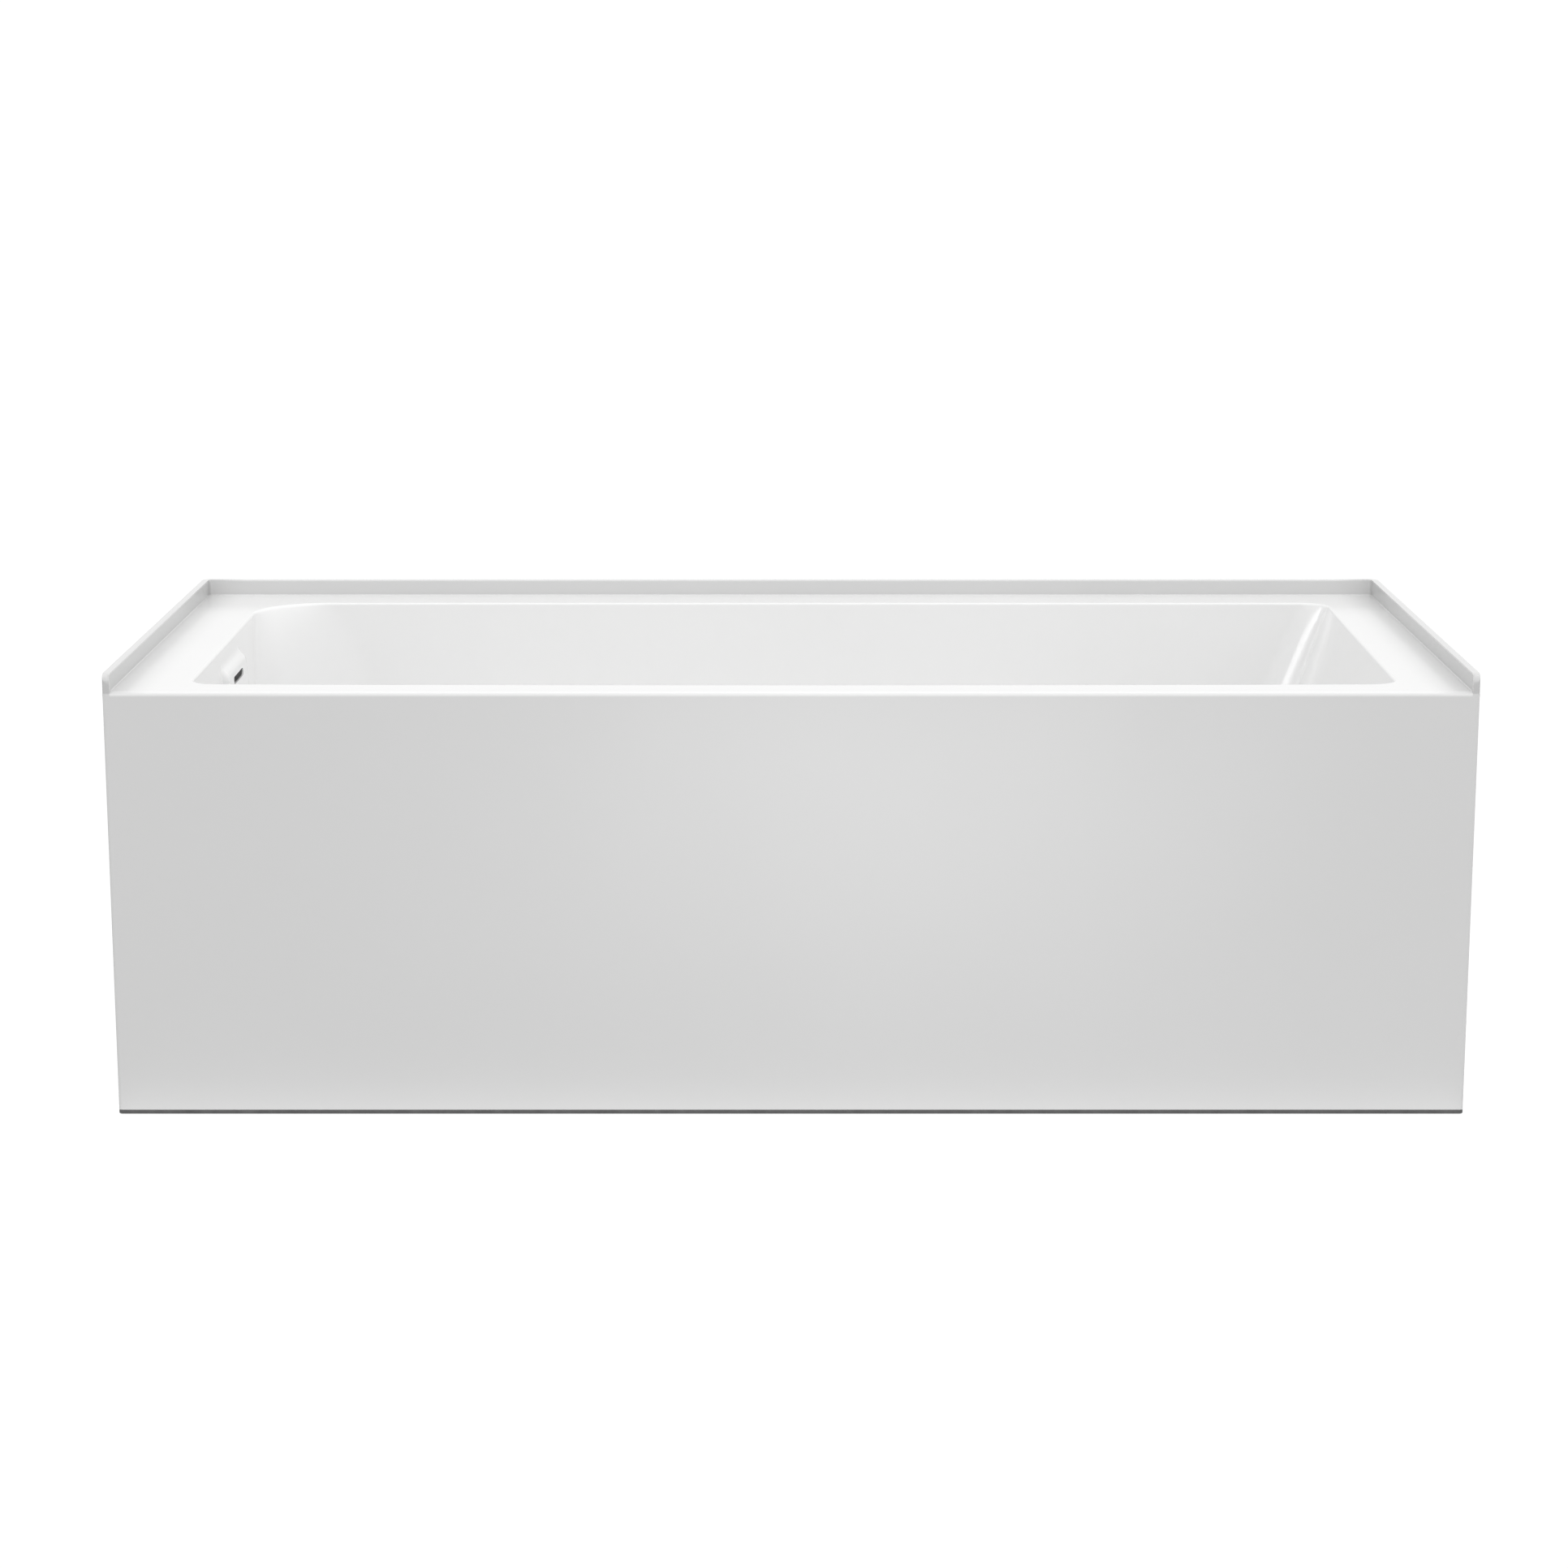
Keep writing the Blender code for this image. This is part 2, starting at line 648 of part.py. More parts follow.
def feet():
    stud = [
        (0.0, STUD_TOP_Z),
        (STUD_R - 0.001, STUD_TOP_Z),
        (STUD_R, STUD_TOP_Z - 0.001),
        (STUD_R, PAD_TOP_Z + 0.0010),
        (STUD_FOOT_R, PAD_TOP_Z - 0.0005),
        (STUD_FOOT_R, STUD_FOOT_Z),
        (0.0, STUD_FOOT_Z),
    ]
    socket_r = STUD_FOOT_R + 0.0004
    pad = [
        (0.0, STUD_FOOT_Z - GAP),
        (socket_r, STUD_FOOT_Z - GAP),
        (socket_r, PAD_TOP_Z),
        (PAD_R - 0.0100, PAD_TOP_Z),
        (PAD_R - 0.0010, PAD_TOP_Z - 0.0040),
        (PAD_R, PAD_TOP_Z - 0.0060),
        (PAD_R, 0.0015),
        (PAD_R - 0.0015, 0.0),
        (0.0, 0.0),
    ]
    nut = hex_nut()
    for side, x in BEARER_X.items():
        for end, y in FOOT_Y.items():
            name = f"foot_{end}_{side}"
            keep(turned(stud, x, y, sides=ROUND), name + "_stud", ZINC)
            keep(turned(pad, x, y, sides=ROUND), name + "_pad", BLACK_RUBBER)
            low = moved_copy(nut, x, y, BEARER_LOW_Z - GAP - NUT_THICK)
            keep(low, name + "_adjusting_nut", ZINC)
            high = moved_copy(nut, x, y, BEARER_TOP_Z + GAP)
            keep(high, name + "_lock_nut", ZINC)


# ---------------------------------------------------------------- drain


def drain():
    y = BASIN_MID_Y
    seal_low = SEAT_Z + GAP
    flange_low = seal_low + FLANGE_SEAL + GAP
    flange_top = flange_low + 0.0025
    keep(
        ring(SEAL_BORE_R, DRAIN_FLANGE_R - 0.0015, seal_low, seal_low + FLANGE_SEAL, DRAIN_X, y),
        "flange_seal",
        BLACK_RUBBER,
    )
    drain_body(flange_low, flange_top)
    gasket_top = BACKING_FLOOR_Z - GAP
    gasket_low = gasket_top - DRAIN_GASKET
    keep(ring(SEAL_BORE_R, SHOE_HUB_R, gasket_low, gasket_top, DRAIN_X, y), "drain_gasket", BLACK_RUBBER)
    drain_shoe(gasket_low - GAP)
    stopper(flange_top + GAP)


def drain_body(flange_low, flange_top):
    """The threaded drain with its cross bars and the hole that guides the stopper's stem."""
    y = BASIN_MID_Y
    profile = [
        (DRAIN_FLANGE_R - 0.0020, flange_top),
        (DRAIN_FLANGE_R, flange_low + 0.0012),
        (DRAIN_FLANGE_R, flange_low),
        (DRAIN_BODY_R, flange_low),
        (DRAIN_BODY_R, BODY_LOW_Z),
        (THROAT_R, BODY_LOW_Z),
        (THROAT_R, flange_top - 0.004),
        (MOUTH_R, flange_top),
    ]
    body = turned(profile, DRAIN_X, y, sides=32, closed=True)
    reach = THROAT_R + 0.0015
    body = join(
        body,
        box((DRAIN_X - reach, DRAIN_X + reach), (y - BAR_HALF, y + BAR_HALF), BAR_Z),
        box((DRAIN_X - BAR_HALF, DRAIN_X + BAR_HALF), (y - reach, y + reach), BAR_Z),
        cylinder(0.0065, BAR_Z[0] - 0.003, BAR_Z[1] + 0.003, DRAIN_X, y, sides=16),
    )
    body = cut(body, cylinder(STEM_HOLE_R, BODY_LOW_Z, FLOOR_Z, DRAIN_X, y, sides=12))
    keep(body, "drain_body", CHROME)


def drain_shoe(hub_top):
    y = BASIN_MID_Y
    outlet_x = DRAIN_X - SHOE_REACH
    shoe = join(
        cylinder(SHOE_HUB_R, hub_top - 0.004, hub_top, DRAIN_X, y, sides=32),
        cylinder(SHOE_R, SHOE_LOW_Z, hub_top - 0.001, DRAIN_X, y),
        cylinder(FITTING_R, outlet_x, DRAIN_X, y=y, z=WASTE_Z, axis="X"),
    )
    shoe = cut(
        shoe,
        cylinder(SEAL_BORE_R, SHOE_LOW_Z + 0.004, FLOOR_Z + 0.05, DRAIN_X, y),
        cylinder(PIPE_BORE_R, outlet_x - 0.05, DRAIN_X, y=y, z=WASTE_Z, axis="X"),
    )
    keep(shoe, "drain_shoe", BLACK_PLASTIC)


def stopper(seal_z):
    """The stopper as it sits when closed: its seal on the drain, the cap on it and the stem."""
    y = BASIN_MID_Y
    cap_z = seal_z + STOPPER_SEAL + GAP
    seal = ring(MOUTH_R + 0.0022, CAP_R - 0.0030, seal_z, seal_z + STOPPER_SEAL, DRAIN_X, y)
    keep(seal, "stopper_seal", BLACK_RUBBER)
    cap = [
        (0.0, cap_z + CAP_HIGH),
        (0.0150, cap_z + CAP_HIGH - 0.0004),
        (0.0250, cap_z + CAP_HIGH - 0.0014),
        (CAP_R - 0.0010, cap_z + CAP_HIGH - 0.0030),
        (CAP_R, cap_z + 0.0008),
        (CAP_R - 0.0004, cap_z),
        (0.0, cap_z),
    ]
    keep(turned(cap, DRAIN_X, y, sides=32), "stopper_cap", CHROME)
    head_low = cap_z - 0.0040
    stem = [
        (0.0, cap_z - GAP),
        (3 * STEM_R, cap_z - GAP),
        (3 * STEM_R, head_low),
        (STEM_R, head_low - 0.0020),
        (STEM_R, STEM_LOW_Z + 0.0010),
        (0.0, STEM_LOW_Z),
    ]
    keep(turned(stem, DRAIN_X, y, sides=12), "stopper_stem", BRASS)


# ---------------------------------------------------------------- waste and overflow


def slip_nut(name, low, x=PLUMB_X, axis="Z"):
    high = low + SLIP_NUT_LONG
    y = BASIN_MID_Y
    nut = cut(
        cylinder(SLIP_NUT_R, low, high, x, y, axis, WASTE_Z, sides=12),
        cylinder(FITTING_R + GAP, low - 1, high + 1, x, y, axis, WASTE_Z),
    )
    keep(nut, name, WHITE_PIPE)


def waste():
    y = BASIN_MID_Y
    tee_low, tee_high = TEE_Z
    tee = join(
        cylinder(FITTING_R, tee_low, tee_high, PLUMB_X, y),
        cylinder(FITTING_R, PLUMB_X, TEE_BRANCH_X, y=y, z=WASTE_Z, axis="X"),
    )
    tee = cut(
        tee,
        cylinder(PIPE_BORE_R, tee_low - 1, tee_high + 1, PLUMB_X, y),
        cylinder(PIPE_BORE_R, PLUMB_X, TEE_BRANCH_X + 1, y=y, z=WASTE_Z, axis="X"),
    )
    keep(tee, "waste_tee", WHITE_PIPE)

    shoe_x = DRAIN_X - SHOE_REACH
    arm_x = (TEE_BRANCH_X + GAP, shoe_x - GAP)
    arm = cut(
        cylinder(PIPE_R, arm_x[0], arm_x[1], y=y, z=WASTE_Z, axis="X"),
        cylinder(PIPE_BORE_R, arm_x[0] - 1, arm_x[1] + 1, y=y, z=WASTE_Z, axis="X"),
    )
    keep(arm, "waste_arm", WHITE_PIPE)
    upright = ring(PIPE_BORE_R, PIPE_R, tee_high + GAP, SPIGOT_Z - GAP, PLUMB_X, y)
    keep(upright, "overflow_pipe", WHITE_PIPE)
    tail = ring(PIPE_BORE_R, PIPE_R, TAIL_LOW_Z, tee_low - GAP, PLUMB_X, y)
    keep(tail, "tailpiece", WHITE_PIPE)

    overflow_housing()
    overflow_gasket()
    half = SLIP_NUT_LONG / 2
    slip_nut("slip_nut_overflow_top", SPIGOT_Z - half)
    slip_nut("slip_nut_tee_top", tee_high - half)
    slip_nut("slip_nut_tee_bottom", TAIL_LOW_Z + 0.002)
    slip_nut("slip_nut_tee_branch", TEE_BRANCH_X - half, axis="X")
    slip_nut("slip_nut_shoe", shoe_x - half, axis="X")


def overflow_housing():
    """The open box behind the overflow slot, with a spigot down to the overflow pipe."""
    back_x, face_x = HOUSING_X
    y = (BASIN_MID_Y - HOUSING_HALF_Y, BASIN_MID_Y + HOUSING_HALF_Y)
    z = (SLOT_Z - HOUSING_HALF_Z, SLOT_Z + HOUSING_HALF_Z)
    wall = HOUSING_WALL
    housing = join(
        box((back_x, face_x), y, z),
        cylinder(FITTING_R, SPIGOT_Z, z[0] + wall, PLUMB_X, BASIN_MID_Y),
    )
    housing = cut(
        housing,
        box((back_x + wall, 0), (y[0] + wall, y[1] - wall), (z[0] + wall, z[1] - wall)),
        cylinder(PIPE_BORE_R, SPIGOT_Z - 1, SLOT_Z, PLUMB_X, BASIN_MID_Y),
    )
    keep(housing, "overflow_housing", BLACK_PLASTIC)


def overflow_gasket():
    """A gasket before the housing, its front face leaning with the end wall."""
    face_x = HOUSING_X[1]
    half_y = HOUSING_HALF_Y + GASKET_BORDER
    half_z = HOUSING_HALF_Z + GASKET_BORDER
    hole_y = HOUSING_HALF_Y - HOUSING_WALL - 0.0005
    hole_z = HOUSING_HALF_Z - HOUSING_WALL - 0.0005
    gasket = cut(
        box(
            (face_x + GAP, face_x + GASKET_THICK),
            (BASIN_MID_Y - half_y, BASIN_MID_Y + half_y),
            (SLOT_Z - half_z, SLOT_Z + half_z),
        ),
        box(
            (-1, 1),
            (BASIN_MID_Y - hole_y, BASIN_MID_Y + hole_y),
            (SLOT_Z - hole_z, SLOT_Z + hole_z),
        ),
    )
    for vert in gasket.data.vertices:
        if vert.co.x > face_x + GASKET_THICK / 2:
            vert.co.x = end_wall_x(vert.co.z, SKIN + BACKING + 3 * GAP)
    keep(gasket, "overflow_gasket", BLACK_RUBBER)


clear_scene()
parts = new_collection("bathtub")
tools = new_collection("cutters")
tub_shell()
fibreglass_backing()
apron_foot_strip()
boards()
bearers()
bearer_screws()
feet()
drain()
waste()
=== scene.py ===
"""Looks of the alcove bathtub: its fine surfaces and materials, a plain studio and the camera."""

import math

import bmesh
import bpy
from mathutils import Matrix, Vector, noise


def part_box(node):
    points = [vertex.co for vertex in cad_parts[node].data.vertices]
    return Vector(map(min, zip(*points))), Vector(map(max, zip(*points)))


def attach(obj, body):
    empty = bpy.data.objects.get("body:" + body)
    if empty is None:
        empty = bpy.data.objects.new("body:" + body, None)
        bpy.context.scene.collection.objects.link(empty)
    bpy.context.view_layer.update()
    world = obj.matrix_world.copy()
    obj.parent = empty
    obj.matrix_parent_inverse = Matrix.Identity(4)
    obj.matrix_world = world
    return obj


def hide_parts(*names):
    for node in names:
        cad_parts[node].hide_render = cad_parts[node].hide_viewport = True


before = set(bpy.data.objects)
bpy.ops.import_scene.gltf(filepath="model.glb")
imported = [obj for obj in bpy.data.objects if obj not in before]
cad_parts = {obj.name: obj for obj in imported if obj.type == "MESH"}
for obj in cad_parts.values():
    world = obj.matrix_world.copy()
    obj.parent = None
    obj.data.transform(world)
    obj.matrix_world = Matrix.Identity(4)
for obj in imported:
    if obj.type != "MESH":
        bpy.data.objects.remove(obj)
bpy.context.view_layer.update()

# Overall sizes, as the CAD has them, in metres
LENGTH = 1.524
WIDTH = 0.762
DECK_Z = 0.483
TOP_Z = 0.503
GAP = 0.0003
LEFT = -LENGTH / 2
RIGHT = LENGTH / 2
FRONT = -WIDTH / 2
BACK = WIDTH / 2
SKIN = 0.0045

# Flange, front edge and apron
FLANGE_THICK = 0.008
FLANGE_NOSE = 0.012
FLANGE_EDGE = 0.0030
FLANGE_FOOT = 0.0014
FLANGE_OUTER_CORNER = 0.013
FLANGE_INNER_CORNER = 0.005
EDGE_ROLL = 0.0055
APRON_CORNER = 0.004
APRON_RETURN = 0.030
APRON_DRAFT = 0.003
STRIP_HIGH = 0.0045
# How far out from the upstand the painted shade on the deck reaches
DECK_SHADE_REACH = 0.050

# Basin
BASIN_LEFT = -0.674
BASIN_RIGHT = 0.682
BASIN_FRONT = -0.326
BASIN_BACK = 0.299
BASIN_SPLAY = 0.004
BASIN_MID_Y = -0.0175
FRONT_BOW = 0.007
LIP = 0.0035
FLOOR_Z = 0.100
FLOOR_FALL = 0.005
END_LEAN = math.radians(5.0)
BACKREST_LEAN = math.radians(20.7)
SIDE_LEAN = math.radians(6.5)
END_FILLET = 0.055
BACKREST_FILLET = 0.090
SIDE_FILLET = 0.050
DECK_CORNERS = (0.030, 0.030, 0.032, 0.085)
FLOOR_CORNERS = (0.200, 0.060, 0.060, 0.200)
CORNER_GROWTH = 0.6

# Overflow
SLOT_Z = 0.441
SLOT_WIDE = 0.077
SLOT_HIGH = 0.009
SLOT_WALL = 0.0018
BOSS_WIDE = 0.158
BOSS_ABOVE = 0.012
BOSS_BELOW = 0.050
BOSS_PROUD = 0.008
BOSS_FLANK = 0.007
BOSS_CORNER = 0.009
BOSS_TOP_EASE = 0.45
OVERFLOW_HOLE_HALF = 0.0435
CHAMBER_BELOW = 0.0130
CHAMBER_ABOVE = 0.0058
HOUSING_HALF = 0.047
HOUSING_HIGH = 0.017

# Layers and supports
BACKING = 0.004
BACKING_TOP_Z = 0.462
BACKING_FLOOR_Z = 0.0905
BACKING_SHY = 0.0006
BACKING_ROUGH = 0.0004
BEARER_WALL = 0.002
BEARER_X = {"left": -0.400, "right": 0.340}
FOOT_Y = {"front": -0.322, "back": 0.322}
SCREW_Y = {"front": -0.130, "back": 0.100}
THREAD_PITCH = 0.00175
STUD_R = 0.006
FOOT_HOLE_R = 0.0068
SCREW_HOLE_R = 0.0024
SCREW_R = 0.0020

# Drain and waste
DRAIN_X = -0.530
PLUMB_X = -0.715
WASTE_Z = 0.052
PIPE_R = 0.01905
PIPE_BORE_R = 0.0168
FITTING_R = 0.0200
FITTING_TIP_R = 0.0194
FITTING_EASE = 0.0006
SLIP_NUT_R = 0.0254
DRAIN_HOLE_R = 0.026


# ---------------------------------------------------------------- shapes


def new_object(name, verts, faces):
    mesh = bpy.data.meshes.new(name)
    mesh.from_pydata(verts, [], faces)
    shape = bmesh.new()
    shape.from_mesh(mesh)
    bmesh.ops.recalc_face_normals(shape, faces=shape.faces)
    shape.to_mesh(mesh)
    shape.free()
    made = bpy.data.objects.new(name, mesh)
    bpy.context.scene.collection.objects.link(made)
    return made


def loft(name, rings, wrap=False):
    """Join rings of equal point counts; caps close both ends, or the last ring meets the first."""
    count = len(rings[0])
    verts = [point for ring in rings for point in ring]
    faces = []
    pairs = list(range(len(rings) - 1)) + ([-1] if wrap else [])
    for r in pairs:
        upper, lower = r % len(rings) * count, (r + 1) % len(rings) * count
        for i in range(count):
            k = (i + 1) % count
            faces.append((upper + i, lower + i, lower + k, upper + k))
    if not wrap:
        faces.append(tuple(range(count)))
        faces.append(tuple(range(len(verts) - count, len(verts))))
    return new_object(name, verts, faces)


def prism(outline, axis, low, high):
    order = {"X": lambda a, b, c: (c, a, b), "Y": lambda a, b, c: (a, c, b), "Z": lambda a, b, c: (a, b, c)}
    place = order[axis]
    return loft("prism", [[place(a, b, c) for a, b in outline] for c in (low, high)])


def box(x, y, z):
    return prism([(x[0], y[0]), (x[1], y[0]), (x[1], y[1]), (x[0], y[1])], "Z", z[0], z[1])


def turn(profile, x=0.0, y=0.0, sides=64, wrap=False):
    """Turn (radius, height) points about a vertical axis. A radius of zero becomes a small cap."""
    rings = []
    for radius, height in profile:
        r = max(radius, 0.00002)
        angles = [2 * math.pi * i / sides for i in range(sides)]
        rings.append([(x + r * math.cos(a), y + r * math.sin(a), height) for a in angles])
    return loft("turned", rings, wrap)


def rod(radius, low, high, x=0.0, y=0.0, sides=64):
    return turn([(radius, high), (radius, low)], x, y, sides)


def lay_along_x(piece, y, z):
    """Turn a piece built about the Z axis so that its heights become X positions."""
    turned = Matrix.Translation((0, y, z)) @ Matrix.Rotation(math.pi / 2, 4, "Y")
    piece.data.transform(turned)
    return piece


def combine(base, others, operation):
    for other in others:
        step = base.modifiers.new(operation, "BOOLEAN")
        step.operation = operation
        step.solver = "EXACT"
        step.object = other
    bpy.context.view_layer.update()
    evaluated = base.evaluated_get(bpy.context.evaluated_depsgraph_get())
    mesh = bpy.data.meshes.new_from_object(evaluated)
    name = base.name
    for old in [base, *others]:
        bpy.data.objects.remove(old, do_unlink=True)
    made = bpy.data.objects.new(name, mesh)
    bpy.context.scene.collection.objects.link(made)
    return made


def join(base, *others):
    return combine(base, others, "UNION")


def cut(base, *others):
    return combine(base, others, "DIFFERENCE")


def common(base, *others):
    return combine(base, others, "INTERSECT")


def bevelled(piece, width, segments=3, limit=40):
    """Round the sharp edges of a piece and keep the result as its mesh."""
    step = piece.modifiers.new("Bevel", "BEVEL")
    step.width = width
    step.segments = segments
    step.limit_method = "ANGLE"
    step.angle_limit = math.radians(limit)
    step.use_clamp_overlap = True
    return combine(piece, [], "UNION")


def arc(cx, cy, radius, start, end, steps):
    points = []
    for i in range(steps + 1):
        angle = math.radians(start + (end - start) * i / steps)
        points.append((cx + radius * math.cos(angle), cy + radius * math.sin(angle)))
    return points


def rounded_rectangle(x, y, radius, steps=8):
    points = arc(x[1] - radius, y[1] - radius, radius, 0, 90, steps)
    points += arc(x[0] + radius, y[1] - radius, radius, 90, 180, steps)
    points += arc(x[0] + radius, y[0] + radius, radius, 180, 270, steps)
    points += arc(x[1] - radius, y[0] + radius, radius, 270, 360, steps)
    return points


# ---------------------------------------------------------------- basin surface


def lip_reach(lean):
    return LIP * math.tan((math.pi / 2 - lean) / 2)


def wall_inset(z, lean, fillet, floor_z, lip):
    """How far in a leaning wall is at height z: the rolled lip, the flat, then the floor's fillet."""
    depth = DECK_Z - z
    reach = lip_reach(lean)
    if lip and depth < reach * math.cos(lean):
        return math.sqrt(max(0.0, 2 * LIP * depth - depth**2)) - reach
    tangent_z = floor_z + fillet * (1 - math.sin(lean))
    if z >= tangent_z:
        return depth * math.tan(lean)
    centre = (DECK_Z - floor_z - fillet + fillet * math.sin(lean)) * math.tan(lean)
    centre += fillet * math.cos(lean)
    return centre - math.sqrt(max(0.0, fillet**2 - (floor_z + fillet - z) ** 2))


def basin_section(z, grow, floor_z, lip, corner_steps, runs):
    deep = FLOOR_Z - floor_z
    low = min(1.0, max(0.0, (DECK_Z - z) / (DECK_Z - floor_z)))
    blend = low**CORNER_GROWTH
    left_in = wall_inset(z, END_LEAN, END_FILLET + deep, floor_z, lip)
    right_in = wall_inset(z, BACKREST_LEAN, BACKREST_FILLET + deep, floor_z, lip)
    side_in = wall_inset(z, SIDE_LEAN, SIDE_FILLET + deep, floor_z, lip)
    left = BASIN_LEFT - grow + left_in
    right = BASIN_RIGHT + grow - right_in
    front = BASIN_FRONT - grow + side_in
    back = BASIN_BACK + grow - side_in
    flare = max(0.0, -side_in) + grow
    radii = [a + (b - a) * blend + flare for a, b in zip(DECK_CORNERS, FLOOR_CORNERS)]
    corners = [
        (left + radii[0], front + radii[0], radii[0], 180),
        (right - radii[1], front + radii[1], radii[1], 270),
        (right - radii[2], back - radii[2], radii[2], 0),
        (left + radii[3], back - radii[3], radii[3], 90),
    ]
    arcs = [arc(cx, cy, r, start, start + 90, corner_steps) for cx, cy, r, start in corners]
    points = []
    for i, run in enumerate(arcs):
        points += run
        nxt = arcs[(i + 1) % 4][0]
        for k in range(1, runs[i]):
            t = k / runs[i]
            if i == 3:
                t += 0.06 * math.sin(2 * math.pi * t)
            points.append((run[-1][0] + (nxt[0] - run[-1][0]) * t, run[-1][1] + (nxt[1] - run[-1][1]) * t))
    return [bent_point(x, y, front, 1 - low) for x, y in points]


def bent_point(x, y, front, share):
    if y < front + 0.5 * (BASIN_MID_Y - front):
        across = min(1.0, abs(x) / abs(BASIN_LEFT))
        y -= FRONT_BOW * share * (1 - across**2)
    if x > 0:
        x += BASIN_SPLAY * (y - BASIN_MID_Y) / (BASIN_BACK - BASIN_FRONT)
    return x, y


def smooth(t):
    t = min(1.0, max(0.0, t))
    return t * t * t * (t * (6 * t - 15) + 10)


def boss_height(y, z):
    """How proud the overflow's pad is: a rounded rectangle with soft drafted flanks."""
    half_y = BOSS_WIDE / 2 - BOSS_CORNER
    half_z = (BOSS_ABOVE + BOSS_BELOW) / 2 - BOSS_CORNER
    dy = max(0.0, abs(y - BASIN_MID_Y) - half_y)
    dz = max(0.0, abs(z - SLOT_Z - (BOSS_ABOVE - BOSS_BELOW) / 2) - half_z)
    if z > SLOT_Z:
        dz *= BOSS_TOP_EASE
    outside = math.hypot(dy, dz) - BOSS_CORNER
    return BOSS_PROUD * smooth((0.001 - outside) / BOSS_FLANK)


def level_list(top, floor_z, step):
    """Heights of the outlines, from just under the lip to the floor, closer in the fillets."""
    deep = FLOOR_Z - floor_z
    radius = BACKREST_FILLET + deep
    bend_z = floor_z + radius * (1 - math.sin(math.radians(20)))
    levels = []
    z = top
    while z > 0.376:
        levels.append(z)
        z -= step
    levels += [0.370 - 0.020 * i for i in range(20) if 0.370 - 0.020 * i > bend_z + 0.005]
    for i in range(25):
        angle = math.radians(20 + 70 * i / 24)
        levels.append(floor_z + radius * (1 - math.sin(angle)))
    return levels


def basin_solid(grow, floor_z, tops, lip=False, tilted=True, fine=True, rough=0.0):
    """A solid basin down to its floor. tops are its first outlines' heights."""
    corner_steps, runs = (20, (48, 16, 12, 160)) if fine else (12, (24, 8, 8, 24))
    levels = list(tops)
    if lip:
        levels += [DECK_Z - LIP * (1 - math.cos(math.radians(6 * i))) for i in range(1, 15)]
    levels += level_list(levels[-1] - 0.002, floor_z, 0.002 if fine else 0.012)
    rings = []
    for z in levels:
        share = max(0.0, (DECK_Z - z) / (DECK_Z - floor_z)) if tilted else 0.0
        ring = []
        for x, y in basin_section(z, grow, floor_z, lip, corner_steps, runs):
            if lip and x < 0 and abs(y - BASIN_MID_Y) < BOSS_WIDE / 2 + 0.01:
                x += boss_height(y, z)
            height = z + FLOOR_FALL * (x - DRAIN_X) * share
            if rough:
                spot = Vector((x, y, height))
                away = Vector((x, y, 0)).normalized() if z > floor_z + 0.02 else Vector((0, 0, -1))
                spot += away * rough * noise.noise(spot * 90) + away * rough * noise.noise(spot * 260) * 0.6
                x, y, height = spot
            ring.append((x, y, height))
        rings.append(ring)
    return loft("basin", rings)


def end_wall_x(z, depth=0.0):
    return BASIN_LEFT - depth + (DECK_Z - z) * math.tan(END_LEAN)


def slot_cutter():
    half = SLOT_HIGH / 2
    reach = SLOT_WIDE / 2 - SLOT_HIGH / 2
    outline = arc(BASIN_MID_Y + reach, SLOT_Z, half, -90, 90, 16)
    outline += arc(BASIN_MID_Y - reach, SLOT_Z, half, 90, 270, 16)
    return prism(outline, "X", -0.700, -0.640)


def slot_chamber():
    """The hollow behind the slot, which leaves the pad a thin wall."""
    across = (BASIN_MID_Y - OVERFLOW_HOLE_HALF, BASIN_MID_Y + OVERFLOW_HOLE_HALF)
    outline = rounded_rectangle(across, (SLOT_Z - CHAMBER_BELOW, SLOT_Z + CHAMBER_ABOVE), 0.002, 4)
    return prism(outline, "X", -0.700, end_wall_x(SLOT_Z, SLOT_WALL - BOSS_PROUD))


# ---------------------------------------------------------------- acrylic skin


def flange():
    """The upstand round three sides, its ends rounded down at the front and all edges soft."""
    inner_left, inner_right = LEFT + FLANGE_THICK, RIGHT - FLANGE_THICK
    inner_back = BACK - FLANGE_THICK
    outer, inner = FLANGE_OUTER_CORNER, FLANGE_INNER_CORNER
    outline = arc(RIGHT - APRON_CORNER, FRONT + APRON_CORNER, APRON_CORNER, 270, 360, 6)
    outline += arc(RIGHT - outer, BACK - outer, outer, 0, 90, 12)
    outline += arc(LEFT + outer, BACK - outer, outer, 90, 180, 12)
    outline += arc(LEFT + APRON_CORNER, FRONT + APRON_CORNER, APRON_CORNER, 180, 270, 6)
    outline += [(inner_left, FRONT)]
    outline += reversed(arc(inner_left + inner, inner_back - inner, inner, 90, 180, 8))
    outline += reversed(arc(inner_right - inner, inner_back - inner, inner, 0, 90, 8))
    outline += [(inner_right, FRONT)]
    low = DECK_Z - EDGE_ROLL - 0.004
    body = prism(outline, "Z", low, TOP_Z)
    side = [(FRONT, low - 0.01), (BACK + 0.01, low - 0.01), (BACK + 0.01, TOP_Z + 0.01)]
    side += [(FRONT + FLANGE_NOSE, TOP_Z + 0.01)]
    side += arc(FRONT + FLANGE_NOSE, TOP_Z - FLANGE_NOSE, FLANGE_NOSE, 90, 180, 14)
    body = common(body, prism(side, "X", LEFT - 0.01, RIGHT + 0.01))
    body = bevelled(body, FLANGE_EDGE, 5, 50)
    behind = (FRONT + SKIN, BACK + 0.01)
    return cut(body, box((LEFT - 0.01, RIGHT + 0.01), behind, (0.4, DECK_Z - SKIN)))


